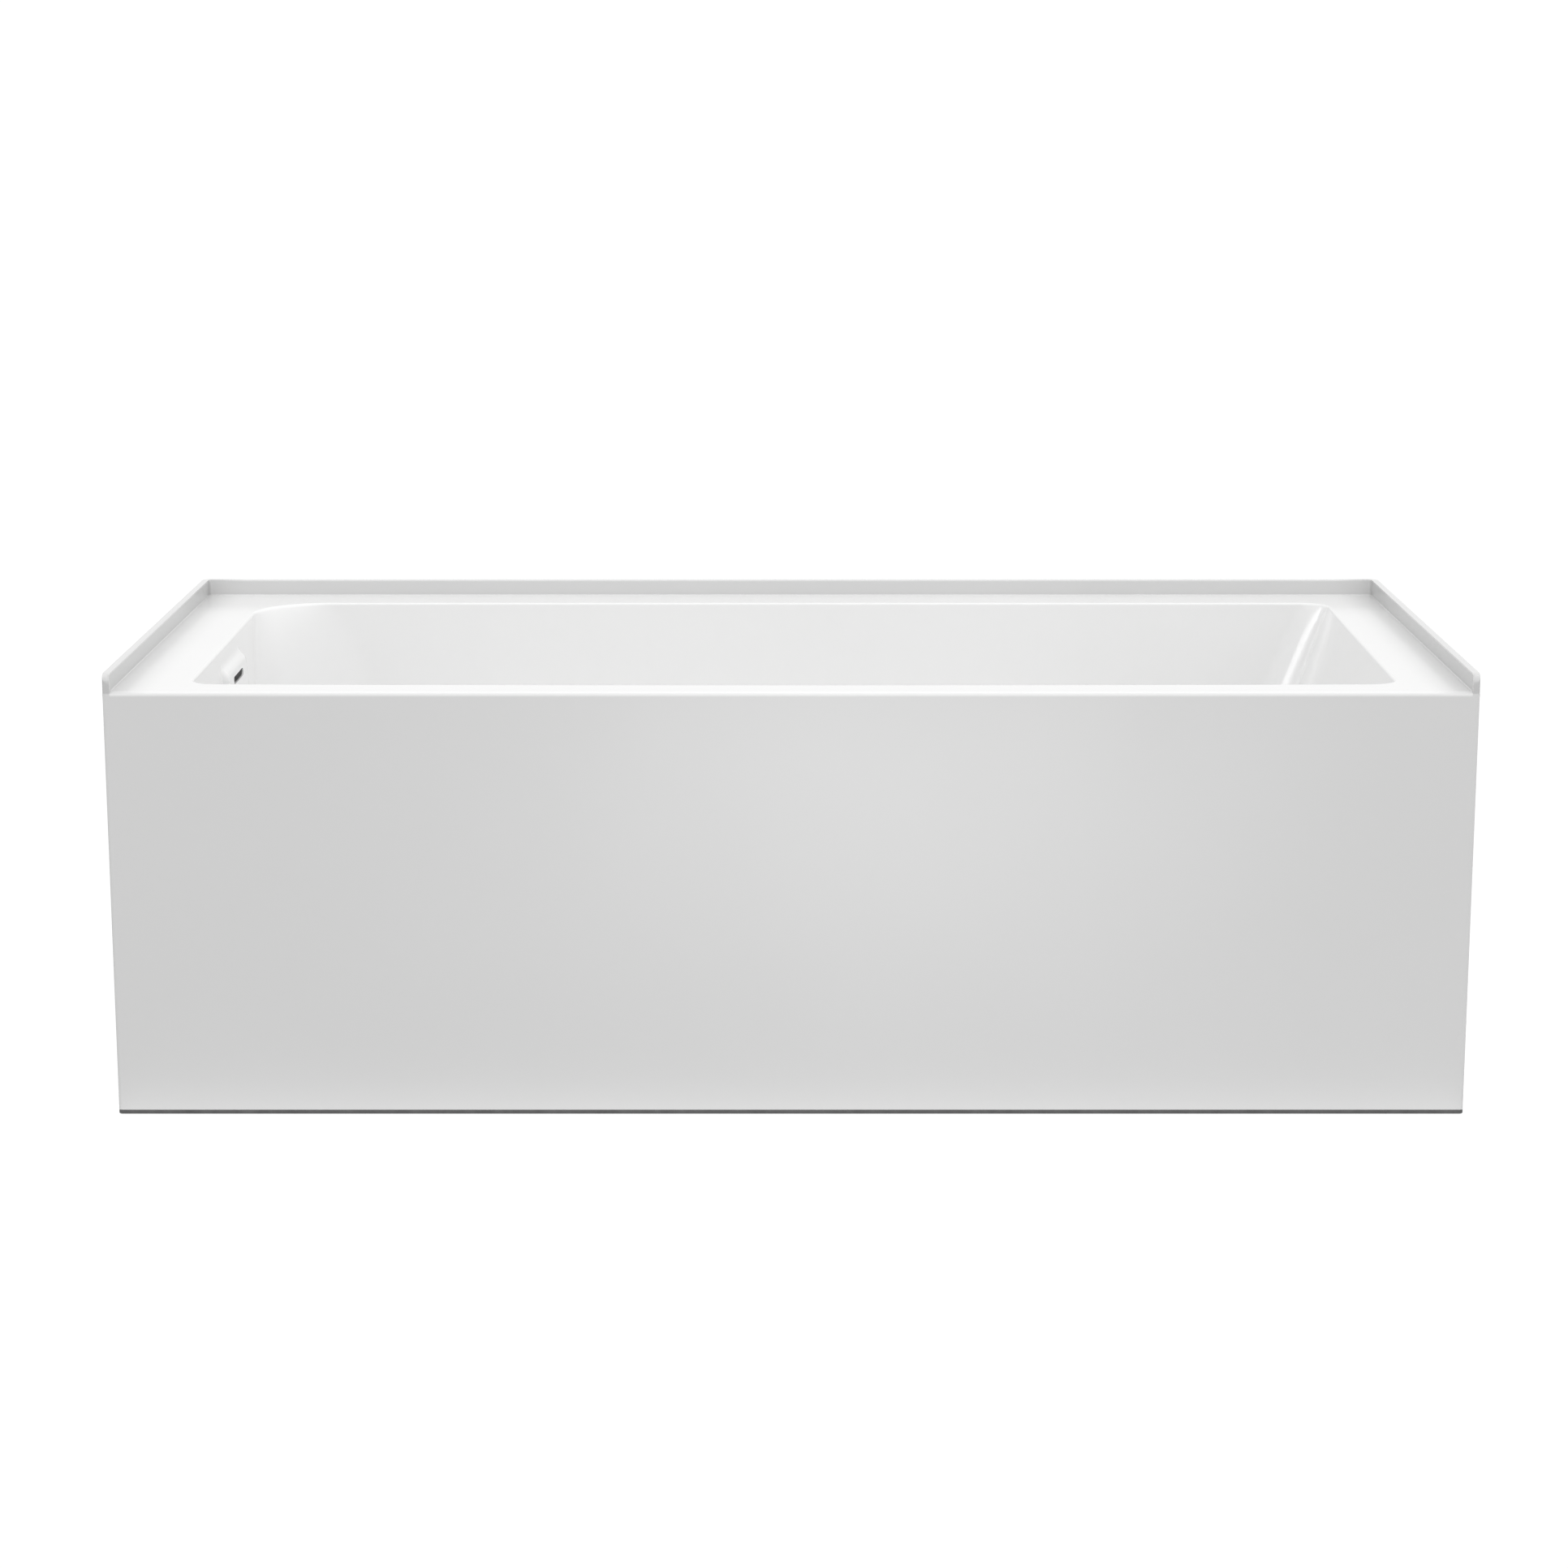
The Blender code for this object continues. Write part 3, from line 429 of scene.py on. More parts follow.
def flange_foot():
    """The small fillet between the deck and the upstand."""
    foot = FLANGE_FOOT
    y_front = FRONT + EDGE_ROLL

    def outline(inset):
        x = RIGHT - FLANGE_THICK - inset
        y = BACK - FLANGE_THICK - inset
        corner = FLANGE_INNER_CORNER + foot - inset
        points = [(x, y_front - 0.1)] + arc(x - corner, y - corner, corner, 0, 90, 8)
        return points + arc(corner - x, y - corner, corner, 90, 180, 8) + [(-x, y_front - 0.1)]

    heights = [foot * (1 - math.cos(math.radians(9 * i))) for i in range(11)]
    levels = [(DECK_Z - 0.01, foot)]
    levels += [(DECK_Z + h, foot - math.sqrt(max(0.0, foot**2 - (foot - h) ** 2))) for h in heights]
    levels += [(DECK_Z + 0.01, -0.0001)]
    hollow = loft("hollow", [[(x, y, z) for x, y in outline(inset)] for z, inset in levels])
    x = RIGHT - FLANGE_THICK + 0.002
    rim = box((-x, x), (y_front, BACK - FLANGE_THICK + 0.002), (DECK_Z - 0.003, DECK_Z + foot))
    return cut(rim, hollow)


def deck_plate():
    roll_y, roll_z = FRONT + EDGE_ROLL, DECK_Z - EDGE_ROLL
    low_z = DECK_Z - 2 * EDGE_ROLL
    outline = [(BACK - 0.004, DECK_Z)] + arc(roll_y, roll_z, EDGE_ROLL, 90, 180, 18)
    outline += [(FRONT, low_z), (FRONT + SKIN, low_z)]
    outline += arc(roll_y, roll_z, EDGE_ROLL - SKIN, 180, 90, 10) + [(BACK - 0.004, DECK_Z - SKIN)]
    return prism(outline, "X", LEFT + FLANGE_THICK / 2, RIGHT - FLANGE_THICK / 2)


def apron_outline(shrink=0.0, steps=10):
    left, right, end_y = LEFT + shrink, RIGHT - shrink, FRONT + APRON_RETURN
    corner = APRON_CORNER
    outline = [(right, end_y)]
    outline += reversed(arc(right - corner, FRONT + corner, corner, 270, 360, steps))
    outline += reversed(arc(left + corner, FRONT + corner, corner, 180, 270, steps))
    outline += [(left, end_y), (left + SKIN, end_y), (left + SKIN, FRONT + SKIN)]
    outline += [(right - SKIN, FRONT + SKIN), (right - SKIN, end_y)]
    return outline


def apron():
    top = DECK_Z - EDGE_ROLL - GAP
    rings = []
    for z, shrink in ((top, 0.0), (STRIP_HIGH + GAP, APRON_DRAFT)):
        rings.append([(x, y, z) for x, y in apron_outline(shrink)])
    plate = loft("apron", rings)
    y = (FRONT + SKIN / 2, FRONT + APRON_RETURN)
    z = (top - GAP, DECK_Z - SKIN / 2)
    return join(plate, box((LEFT, LEFT + SKIN), y, z), box((RIGHT - SKIN, RIGHT), y, z))


def acrylic_skin():
    bowl = basin_solid(SKIN, FLOOR_Z - SKIN, [DECK_Z - GAP, DECK_Z - LIP], fine=False)
    shell = join(deck_plate(), flange(), flange_foot(), apron(), bowl)
    shell = cut(shell, basin_solid(0.0, FLOOR_Z, [DECK_Z + 0.01, DECK_Z], lip=True))
    seat = turn([(0.0382, 0.12), (0.0382, FLOOR_Z), (0.0372, FLOOR_Z - 0.001), (0.0372, FLOOR_Z - 0.002)])
    seat.data.transform(Matrix.Translation((DRAIN_X, BASIN_MID_Y, 0)))
    drain = rod(DRAIN_HOLE_R, 0.05, 0.15, DRAIN_X, BASIN_MID_Y)
    shell = cut(shell, slot_cutter(), slot_chamber(), drain, seat)
    return show(shell, "tub_skin", "tub", "white_acrylic", ["tub_shell"], angle=32)


def show(piece, name, body, slot, nodes, angle=35, material=None):
    """Name a finished piece, shade it, give it its material and put it on its body."""
    piece.name = name
    piece.data.name = name
    piece.data.shade_smooth()
    piece.data.set_sharp_from_angle(angle=math.radians(angle))
    weighted = piece.modifiers.new("Weighted", "WEIGHTED_NORMAL")
    weighted.keep_sharp = True
    weighted.weight = 60
    piece.data.materials.clear()
    piece.data.materials.append(material or looks[slot])
    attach(piece, body)
    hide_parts(*nodes)
    return piece


# ---------------------------------------------------------------- materials


class Surface:
    """A Principled material built from nodes, all in the frame's own coordinates."""

    def __init__(self, name, roughness, metallic=0.0, scale=(1, 1, 1)):
        self.material = bpy.data.materials.new(name)
        self.material.use_nodes = True
        self.tree = self.material.node_tree
        self.shader = self.tree.nodes["Principled BSDF"]
        self.shader.inputs["Metallic"].default_value = metallic
        self.shader.inputs["Roughness"].default_value = roughness
        place = self.node("ShaderNodeTexCoord")
        stretch = self.node("ShaderNodeMapping")
        stretch.inputs["Scale"].default_value = scale
        self.link(place.outputs["Object"], stretch.inputs["Vector"])
        self.coords = stretch.outputs["Vector"]
        self.plain = place.outputs["Object"]
        self.bump_out = None

    def node(self, kind):
        return self.tree.nodes.new(kind)

    def link(self, a, b):
        self.tree.links.new(a, b)

    def noise(self, scale, detail=3.0, rough=0.5, coords=None):
        made = self.node("ShaderNodeTexNoise")
        made.inputs["Scale"].default_value = scale
        made.inputs["Detail"].default_value = detail
        made.inputs["Roughness"].default_value = rough
        self.link(coords or self.coords, made.inputs["Vector"])
        return made.outputs["Fac"]

    def cells(self, scale, feature="F1", coords=None):
        made = self.node("ShaderNodeTexVoronoi")
        made.feature = feature
        made.inputs["Scale"].default_value = scale
        self.link(coords or self.coords, made.inputs["Vector"])
        return made

    def waves(self, scale, distortion, direction="X", detail=2.0):
        made = self.node("ShaderNodeTexWave")
        made.bands_direction = direction
        made.inputs["Scale"].default_value = scale
        made.inputs["Distortion"].default_value = distortion
        made.inputs["Detail"].default_value = detail
        self.link(self.coords, made.inputs["Vector"])
        return made.outputs["Fac"]

    def ramp(self, source, stops):
        made = self.node("ShaderNodeValToRGB")
        band = made.color_ramp
        while len(band.elements) < len(stops):
            band.elements.new(0.5)
        for element, (at, colour) in zip(band.elements, stops):
            element.position = at
            element.color = (*colour, 1.0)
        self.link(source, made.inputs["Fac"])
        return made.outputs["Color"]

    def mix(self, factor, a, b):
        made = self.node("ShaderNodeMix")
        made.data_type = "RGBA"
        self.link(factor, made.inputs["Factor"])
        self.link(a, made.inputs[6])
        self.link(b, made.inputs[7])
        return made.outputs[2]

    def band(self, coordinate, start, end):
        """0 where the coordinate is below start and 1 where it is above end; start may be the larger."""
        made = self.node("ShaderNodeMapRange")
        made.interpolation_type = "SMOOTHSTEP"
        made.inputs["From Min"].default_value = start
        made.inputs["From Max"].default_value = end
        self.link(coordinate, made.inputs["Value"])
        return made.outputs["Result"]

    def maths(self, operation, *sources):
        made = self.node("ShaderNodeMath")
        made.operation = operation
        for source, socket in zip(sources, made.inputs):
            self.link(source, socket)
        return made.outputs[0]

    def range(self, source, low, high):
        made = self.node("ShaderNodeMapRange")
        made.inputs["To Min"].default_value = low
        made.inputs["To Max"].default_value = high
        self.link(source, made.inputs["Value"])
        return made.outputs["Result"]

    def colour(self, source):
        self.link(source, self.shader.inputs["Base Color"])
        return self

    def rough(self, source, low, high):
        self.link(self.range(source, low, high), self.shader.inputs["Roughness"])
        return self

    def bump(self, source, strength, distance):
        made = self.node("ShaderNodeBump")
        made.inputs["Strength"].default_value = strength
        made.inputs["Distance"].default_value = distance
        self.link(source, made.inputs["Height"])
        if self.bump_out:
            self.link(self.bump_out, made.inputs["Normal"])
        self.bump_out = made.outputs["Normal"]
        self.link(self.bump_out, self.shader.inputs["Normal"])
        return self


def acrylic():
    """White acrylic with painted shade: greyer on the upstand's inner faces and a little greyer on the deck
    beside them.
    """
    s = Surface("white_acrylic", 0.14)
    s.shader.inputs["IOR"].default_value = 1.49
    clouds = s.noise(3.5, 2)
    white = s.ramp(clouds, [(0.3, (0.795, 0.795, 0.793)), (0.7, (0.806, 0.806, 0.805))])
    # Painted shade: darker copies of the white for the upstand's inner faces (the back one less dark) and for
    # the deck beside them
    upstand_painted_shade = s.ramp(clouds, [(0.3, (0.510, 0.510, 0.509)), (0.7, (0.525, 0.525, 0.524))])
    back_upstand_painted_shade = s.ramp(clouds, [(0.3, (0.625, 0.625, 0.624)), (0.7, (0.640, 0.640, 0.639))])
    deck_painted_shade = s.ramp(clouds, [(0.3, (0.640, 0.640, 0.638)), (0.7, (0.650, 0.650, 0.649))])
    split = s.node("ShaderNodeSeparateXYZ")
    s.link(s.plain, split.inputs[0])
    across, along, up = split.outputs
    side = s.maths("ABSOLUTE", across)
    inner_x, inner_y = RIGHT - FLANGE_THICK, BACK - FLANGE_THICK
    # Masks for the painted shade: the upstand's inner faces, and the strip of deck next to them
    within_x = s.band(side, inner_x + 0.0030, inner_x + 0.0010)
    within_y = s.band(along, inner_y + 0.0030, inner_y + 0.0010)
    inside = s.maths("MULTIPLY", within_x, within_y)
    above_deck = s.band(up, DECK_Z + 0.0001, DECK_Z + 0.0008)
    below_top = s.band(up, TOP_Z - 0.0005, TOP_Z - 0.0030)
    upstand = s.maths("MULTIPLY", above_deck, below_top)
    upstand = s.maths("MULTIPLY", upstand, s.band(along, FRONT + 0.002, FRONT + 0.006))
    near = s.band(side, inner_x - DECK_SHADE_REACH, inner_x)
    deck = s.maths("MULTIPLY", near, s.band(up, DECK_Z - 0.0030, DECK_Z - 0.0010))
    # tone is the painted shade colour for the upstand's inner faces
    tone = s.mix(s.band(along, inner_y - 0.002, inner_y), upstand_painted_shade, back_upstand_painted_shade)
    s.colour(s.mix(s.maths("MULTIPLY", inside, upstand), s.mix(deck, white, deck_painted_shade), tone))
    s.rough(s.noise(14, 4), 0.12, 0.17)
    return s.bump(s.noise(5.5, 1), 0.04, 0.002).material


def glass_resin():
    s = Surface("glass_resin", 0.55)
    strands = s.waves(22, 14, "DIAGONAL", 4)
    resin = [(0.3, (0.36, 0.38, 0.29)), (0.55, (0.56, 0.57, 0.47)), (0.75, (0.70, 0.70, 0.62))]
    body = s.ramp(s.noise(38, 6, 0.65), resin)
    pale = s.ramp(strands, [(0.0, (0.50, 0.51, 0.43)), (1.0, (0.80, 0.80, 0.74))])
    s.colour(s.mix(s.range(s.noise(120, 3), 0.1, 0.6), body, pale))
    s.rough(s.noise(60, 3), 0.32, 0.75)
    s.bump(s.noise(90, 6, 0.7), 0.5, 0.0012)
    return s.bump(strands, 0.35, 0.0006).material


def rubber(name, dark, light):
    s = Surface(name, 0.75)
    s.colour(s.ramp(s.noise(45, 5, 0.6), [(0.3, (dark,) * 3), (0.7, (light,) * 3)]))
    s.rough(s.noise(80, 3), 0.62, 0.9)
    return s.bump(s.noise(700, 3), 0.35, 0.0002).material


def plywood(name, grain, layers):
    """grain is the direction of the face veneer and layers the direction through the sheet."""
    stretch = {"X": (2.2, 30, 30), "Y": (30, 2.2, 30)}[grain]
    s = Surface(name, 0.65, scale=stretch)
    figure = s.noise(2.2, 8, 0.62)
    woods = [(0.25, (0.40, 0.235, 0.115)), (0.5, (0.60, 0.40, 0.215)), (0.75, (0.74, 0.54, 0.33))]
    face = s.ramp(figure, woods)
    split = s.node("ShaderNodeSeparateXYZ")
    s.link(s.plain, split.inputs["Vector"])
    band = s.node("ShaderNodeMath")
    band.operation = "PINGPONG"
    band.inputs[1].default_value = 0.0024
    s.link(split.outputs[layers], band.inputs[0])
    layer = s.node("ShaderNodeMath")
    layer.operation = "GREATER_THAN"
    layer.inputs[1].default_value = 0.0012
    s.link(band.outputs[0], layer.inputs[0])
    edge_dark = s.ramp(s.noise(9, 6), [(0.3, (0.24, 0.13, 0.06)), (0.7, (0.36, 0.21, 0.10))])
    edge_light = s.ramp(s.noise(7, 6), [(0.3, (0.55, 0.37, 0.20)), (0.7, (0.70, 0.51, 0.31))])
    edge = s.mix(layer.outputs[0], edge_dark, edge_light)
    normal = s.node("ShaderNodeNewGeometry")
    turned = s.node("ShaderNodeSeparateXYZ")
    s.link(normal.outputs["Normal"], turned.inputs["Vector"])
    size = s.node("ShaderNodeMath")
    size.operation = "ABSOLUTE"
    s.link(turned.outputs[layers], size.inputs[0])
    s.colour(s.mix(size.outputs[0], edge, face))
    s.rough(figure, 0.5, 0.8)
    return s.bump(figure, 0.3, 0.0005).material


def metal(name, dark, light, low, high, spangle=0.0, brush=(1, 1, 1), bump=0.02):
    s = Surface(name, 0.3, 1.0, brush)
    tone = s.noise(60, 5, 0.6)
    if spangle:
        patches = s.cells(spangle, coords=s.plain)
        tone = patches.outputs["Color"]
    s.colour(s.ramp(tone, [(0.2, dark), (0.8, light)]))
    s.rough(s.noise(180, 4), low, high)
    return s.bump(s.noise(420, 3), bump, 0.0003).material


def plastic(name, dark, light, low, high, grain=900, bump=0.06):
    s = Surface(name, 0.4)
    s.colour(s.ramp(s.noise(22, 4), [(0.3, dark), (0.7, light)]))
    s.rough(s.noise(70, 4), low, high)
    return s.bump(s.noise(grain, 2), bump, 0.0002).material


looks = {
    "white_acrylic": acrylic(),
    "glass_resin": glass_resin(),
    # Rubber of the seal strip under the apron, dark enough to also paint the shadow gap at the apron's foot
    "dark_strip": rubber("dark_strip", 0.10, 0.15),
    "plywood": plywood("plywood", "X", 2),
    "plywood_cross": plywood("plywood_cross", "Y", 2),
    "plywood_upright": plywood("plywood_upright", "X", 1),
    "galvanised": metal("galvanised", (0.42, 0.44, 0.46), (0.66, 0.68, 0.70), 0.28, 0.5, spangle=55),
    "zinc": metal("zinc", (0.55, 0.55, 0.52), (0.70, 0.70, 0.68), 0.2, 0.38),
    "black_rubber": rubber("black_rubber", 0.018, 0.035),
    "chrome": metal("chrome", (0.78, 0.78, 0.80), (0.86, 0.86, 0.87), 0.03, 0.09, bump=0.005),
    "brass": metal("brass", (0.62, 0.44, 0.16), (0.78, 0.60, 0.28), 0.16, 0.34, brush=(1, 1, 12)),
    "white_pipe": plastic("white_pipe", (0.70, 0.70, 0.67), (0.78, 0.78, 0.76), 0.25, 0.42),
    "black_plastic": plastic(
        "black_plastic", (0.022, 0.022, 0.023), (0.040, 0.040, 0.041), 0.35, 0.55, grain=600, bump=0.2
    ),
}


# ---------------------------------------------------------------- layers and boards


def fibreglass_backing():
    drop = SKIN + GAP
    tops = [BACKING_TOP_Z - 0.0015 * i for i in range(8)]
    grow = drop + BACKING - BACKING_SHY
    floor_z = BACKING_FLOOR_Z + BACKING_SHY
    outer = basin_solid(grow, floor_z, tops, tilted=False, fine=False, rough=BACKING_ROUGH)
    inner = basin_solid(drop, FLOOR_Z - drop, [DECK_Z, DECK_Z - LIP], fine=False)
    layer = cut(outer, inner, slot_chamber(), rod(DRAIN_HOLE_R, 0.05, 0.15, DRAIN_X, BASIN_MID_Y))
    show(layer, "backing_layer", "tub", "glass_resin", ["fibreglass_backing"], angle=50)


# A rubber seal strip under the apron; its near-black colour is partly the strip's own and partly painted
# shadow of the gap at the apron's foot
def apron_foot_strip():
    rings = []
    for z, inset in ((STRIP_HIGH, 0.0006), (STRIP_HIGH - 0.0006, 0.0), (0.0006, 0.0), (0.0, 0.0006)):
        rings.append([(x, y + inset, z) for x, y in apron_outline(APRON_DRAFT + inset)])
    show(loft("strip", rings), "foot_strip", "tub", "dark_strip", ["apron_foot_strip"])


def board(node, look):
    """A sawn board with its arrises eased, on the node's own box."""
    low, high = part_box(node)
    piece = bevelled(box((low.x, high.x), (low.y, high.y), (low.z, high.z)), 0.0012, 2)
    show(piece, node + "_sawn", "tub", "plywood", [node], material=looks[look])


def boards():
    board("front_rim_board", "plywood")
    board("back_rim_board", "plywood")
    board("drain_end_rim_board", "plywood_cross")
    board("backrest_end_rim_board", "plywood_cross")
    board("apron_board", "plywood_upright")
    low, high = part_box("base_board")
    small, large = 0.030, 0.170
    outline = arc(high.x - small, high.y - small, small, 0, 90, 8)
    outline += arc(low.x + large, high.y - large, large, 90, 180, 24)
    outline += arc(low.x + large, low.y + large, large, 180, 270, 24)
    outline += arc(high.x - small, low.y + small, small, 270, 360, 8)
    base = bevelled(prism(outline, "Z", low.z, high.z), 0.0010, 2, 60)
    places = [(x, y) for x in BEARER_X.values() for y in SCREW_Y.values()]
    holes = [rod(SCREW_HOLE_R, 0.03, high.z - 0.0015, x, y, 16) for x, y in places]
    base = cut(base, rod(0.042, 0.05, 0.15, DRAIN_X, BASIN_MID_Y), *holes)
    show(base, "base_board_sawn", "tub", "plywood", ["base_board"])


# ---------------------------------------------------------------- bearers and feet


def bearers():
    for side, x in BEARER_X.items():
        node = side + "_bearer"
        low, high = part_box(node)
        outer = rounded_rectangle((low.x, high.x), (low.z, high.z), 0.003, 6)
        wall = BEARER_WALL
        inner = rounded_rectangle((low.x + wall, high.x - wall), (low.z + wall, high.z - wall), 0.0012, 4)
        tube = bevelled(prism(outer, "Y", low.y, high.y), 0.0004, 2, 60)
        cutters = [prism(inner, "Y", low.y - 0.01, high.y + 0.01)]
        cutters += [rod(FOOT_HOLE_R, 0.03, 0.10, x, y, 32) for y in FOOT_Y.values()]
        cutters += [rod(SCREW_HOLE_R, 0.03, 0.10, x, y, 16) for y in SCREW_Y.values()]
        show(cut(tube, *cutters), node + "_tube", "tub", "galvanised", [node])


def bearer_screws():
    """Self-drilling screws: a hexagon on a washer below the bearer, a point up in the board."""
    for side, x in BEARER_X.items():
        for end, y in SCREW_Y.items():
            node = f"bearer_screw_{end}_{side}"
            low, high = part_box(node)
            washer_top = low.z + 0.0036
            shank = [(0.0, high.z), (SCREW_R, high.z - 0.004), (SCREW_R, washer_top), (0.0060, washer_top)]
            shank += [(0.0060, washer_top - 0.0004), (0.0056, washer_top - 0.0009)]
            shank += [(0.0, washer_top - 0.0009)]
            head = hexagon(0.0070, low.z, washer_top - 0.0007, 0.0)
            head.data.transform(Matrix.Translation((x, y, 0)))
            ridge = thread(SCREW_R, 0.00235, 0.0016, washer_top + 0.001, high.z - 0.005, x, y, 16)
            piece = join(turn(shank, x, y, 32), head, ridge)
            show(piece, node + "_part", "tub", "zinc", [node])


def hexagon(flats, low, high, bore):
    """A hexagonal nut or head, its corners turned off at both ends."""
    across = flats / math.sqrt(3)
    outline = arc(0, 0, across, 0, 300, 5)
    half = flats / 2
    rise = (across - half) * math.tan(math.radians(30))
    inner, outer = half * 0.98, across * 1.01
    cone = [(inner, high), (outer, high - rise), (outer, low + rise), (inner, low)]
    blank = common(prism(outline, "Z", low, high), turn(cone, sides=72))
    if bore:
        lead = 0.0007
        hole = [(bore + lead, high + 0.001), (bore + lead, high), (bore, high - lead)]
        hole += [(bore, low + lead), (bore + lead, low), (bore + lead, low - 0.001)]
        blank = cut(blank, turn(hole, sides=48))
    return blank


def thread(core, crest, pitch, low, high, x, y, steps=32):
    """A helical ridge round a shank, tapering away at both ends."""
    turns = (high - low) / pitch
    count = int(turns * steps)
    rings = []
    for i in range(count + 1):
        t = i / count
        fade = min(1.0, t * turns * 2, (1 - t) * turns * 2)
        angle = 2 * math.pi * turns * t
        z = low + (high - low) * t
        peak = core + (crest - core) * fade
        root = core - 0.0003
        half = pitch * 0.42
        section = [(root, -half), (root, half), (peak, half * 0.25), (peak, -half * 0.25)]
        rings.append([(x + r * math.cos(angle), y + r * math.sin(angle), z + h) for r, h in section])
    return loft("thread", rings)


def feet():
    nut = hexagon(0.019, 0.0, 0.010, 0.0064)
    for side, x in BEARER_X.items():
        for end, y in FOOT_Y.items():
            name = f"foot_{end}_{side}"
            stud_piece(name, x, y)
            pad_piece(name, x, y)
            for which in ("adjusting_nut", "lock_nut"):
                node = f"{name}_{which}"
                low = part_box(node)[0]
                copy = bpy.data.objects.new(node, nut.data.copy())
                bpy.context.scene.collection.objects.link(copy)
                copy.data.transform(Matrix.Translation((x, y, low.z)))
                body = name + "_nut" if which == "adjusting_nut" else "tub"
                show(copy, node + "_hex", body, "zinc", [node])
    bpy.data.objects.remove(nut, do_unlink=True)


def stud_piece(name, x, y):
    node = name + "_stud"
    low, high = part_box(node)
    core = STUD_R - 0.0010
    shank = [(0.0, high.z), (core - 0.0006, high.z), (core, high.z - 0.0008), (core, 0.0165)]
    shank += [(STUD_R, 0.0160), (STUD_R, 0.0140), (0.0098, 0.0125), (0.0100, 0.0121)]
    shank += [(0.0100, low.z), (0.0, low.z)]
    piece = join(turn(shank, x, y, 48), thread(core, STUD_R, THREAD_PITCH, 0.0175, high.z - 0.0018, x, y, 24))
    show(piece, node + "_threaded", name, "zinc", [node], angle=40)


def pad_piece(name, x, y):
    node = name + "_pad"
    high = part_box(node)[1]
    profile = [(0.0, 0.0080), (0.0104, 0.0080), (0.0104, high.z), (0.0140, high.z), (0.0148, high.z - 0.0003)]
    for i in range(4):
        r = 0.0160 + 0.0020 * i
        z = high.z - 0.0011 - 0.0008 * i
        profile += [(r, z + 0.0004), (r + 0.0006, z), (r + 0.0010, z - 0.0008)]
    profile += [(0.0243, 0.0084), (0.0249, 0.0072), (0.0250, 0.0060), (0.0250, 0.0015)]
    profile += [(0.0246, 0.0005), (0.0236, 0.0)]
    for outer, inner in ((0.0200, 0.0166), (0.0120, 0.0086)):
        profile += [(outer, 0.0), (outer - 0.0004, 0.0008), (inner + 0.0004, 0.0008), (inner, 0.0)]
    profile += [(0.0, 0.0)]
    show(turn(profile, x, y, 64), node + "_moulded", name, "black_rubber", [node])


# ---------------------------------------------------------------- drain


def soft_ring(node, inner, outer, edge, body, slot, look=None, sides=72):
    """A gasket or seal with rounded edges, on the node's own heights."""
    low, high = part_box(node)
    profile = [(outer - edge, high.z), (outer, high.z - edge), (outer, low.z + edge), (outer - edge, low.z)]
    profile += [(inner + edge, low.z), (inner, low.z + edge), (inner, high.z - edge), (inner + edge, high.z)]
    show(turn(profile, DRAIN_X, BASIN_MID_Y, sides, wrap=True), look or node + "_ring", body, slot, [node])


def drain():
    x, y = DRAIN_X, BASIN_MID_Y
    soft_ring("flange_seal", 0.0245, 0.0350, 0.0003, "tub", "black_rubber")
    soft_ring("drain_gasket", 0.0245, 0.0355, 0.0006, "tub", "black_rubber")
    soft_ring("stopper_seal", 0.0242, 0.0290, 0.0005, "stopper", "black_rubber")
    drain_body(x, y)
    drain_shoe(x, y)
    low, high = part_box("stopper_cap")
    cap = [(0.0, high.z), (0.006, high.z - 0.0001), (0.012, high.z - 0.0003), (0.018, high.z - 0.0008)]
    cap += [(0.0235, high.z - 0.0014), (0.0275, high.z - 0.0021), (0.0300, high.z - 0.0028)]
    cap += [(0.0312, high.z - 0.0034), (0.0318, low.z + 0.0010), (0.0320, low.z + 0.0006)]
    cap += [(0.0317, low.z + 0.0001), (0.0313, low.z), (0.0, low.z)]
    show(turn(cap, x, y, 96), "stopper_cap_domed", "stopper", "chrome", ["stopper_cap"], angle=25)
    low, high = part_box("stopper_stem")
    stem = [(0.0, high.z), (0.0086, high.z), (0.0090, high.z - 0.0004), (0.0090, high.z - 0.0034)]
    stem += [(0.0086, high.z - 0.0038), (0.0036, high.z - 0.0056), (0.0030, high.z - 0.0064)]
    stem += [(0.0030, 0.0740), (0.0026, 0.0736), (0.0026, 0.0724), (0.0030, 0.0720)]
    stem += [(0.0030, low.z + 0.0010), (0.0, low.z)]
    show(turn(stem, x, y, 48), "stopper_stem_turned", "stopper", "brass", ["stopper_stem"])


def drain_body(x, y):
    low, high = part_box("drain_body")
    top = high.z
    profile = [(0.0345, top), (0.0353, top - 0.0003), (0.0360, top - 0.0008), (0.0364, top - 0.0014)]
    profile += [(0.0365, top - 0.0020), (0.0365, top - 0.0025), (0.0230, top - 0.0025)]
    z = top - 0.0060
    while z > low.z + 0.003:
        profile += [(0.0230, z), (0.0223, z - 0.0006), (0.0223, z - 0.0008), (0.0230, z - 0.0014)]
        z -= 0.0018
    profile += [(0.0230, low.z + 0.0008), (0.0224, low.z), (0.0194, low.z), (0.0190, low.z + 0.0005)]
    profile += [(0.0190, top - 0.0044), (0.0194, top - 0.0034), (0.0214, top - 0.0006), (0.0224, top)]
    body = turn(profile, x, y, 72, wrap=True)
    bar_z = (0.083, 0.087)
    reach = 0.0205
    hub = turn([(0.0057, 0.090), (0.0065, 0.0892), (0.0065, 0.0808), (0.0057, 0.080)], x, y, 32)
    bar_a = bevelled(box((x - reach, x + reach), (y - 0.002, y + 0.002), bar_z), 0.0006, 2)
    bar_b = bevelled(box((x - 0.002, x + 0.002), (y - reach, y + reach), bar_z), 0.0006, 2)
    body = cut(join(body, bar_a, bar_b, hub), rod(0.0036, 0.05, 0.15, x, y, 32))
    show(body, "drain_body_turned", "tub", "chrome", ["drain_body"])


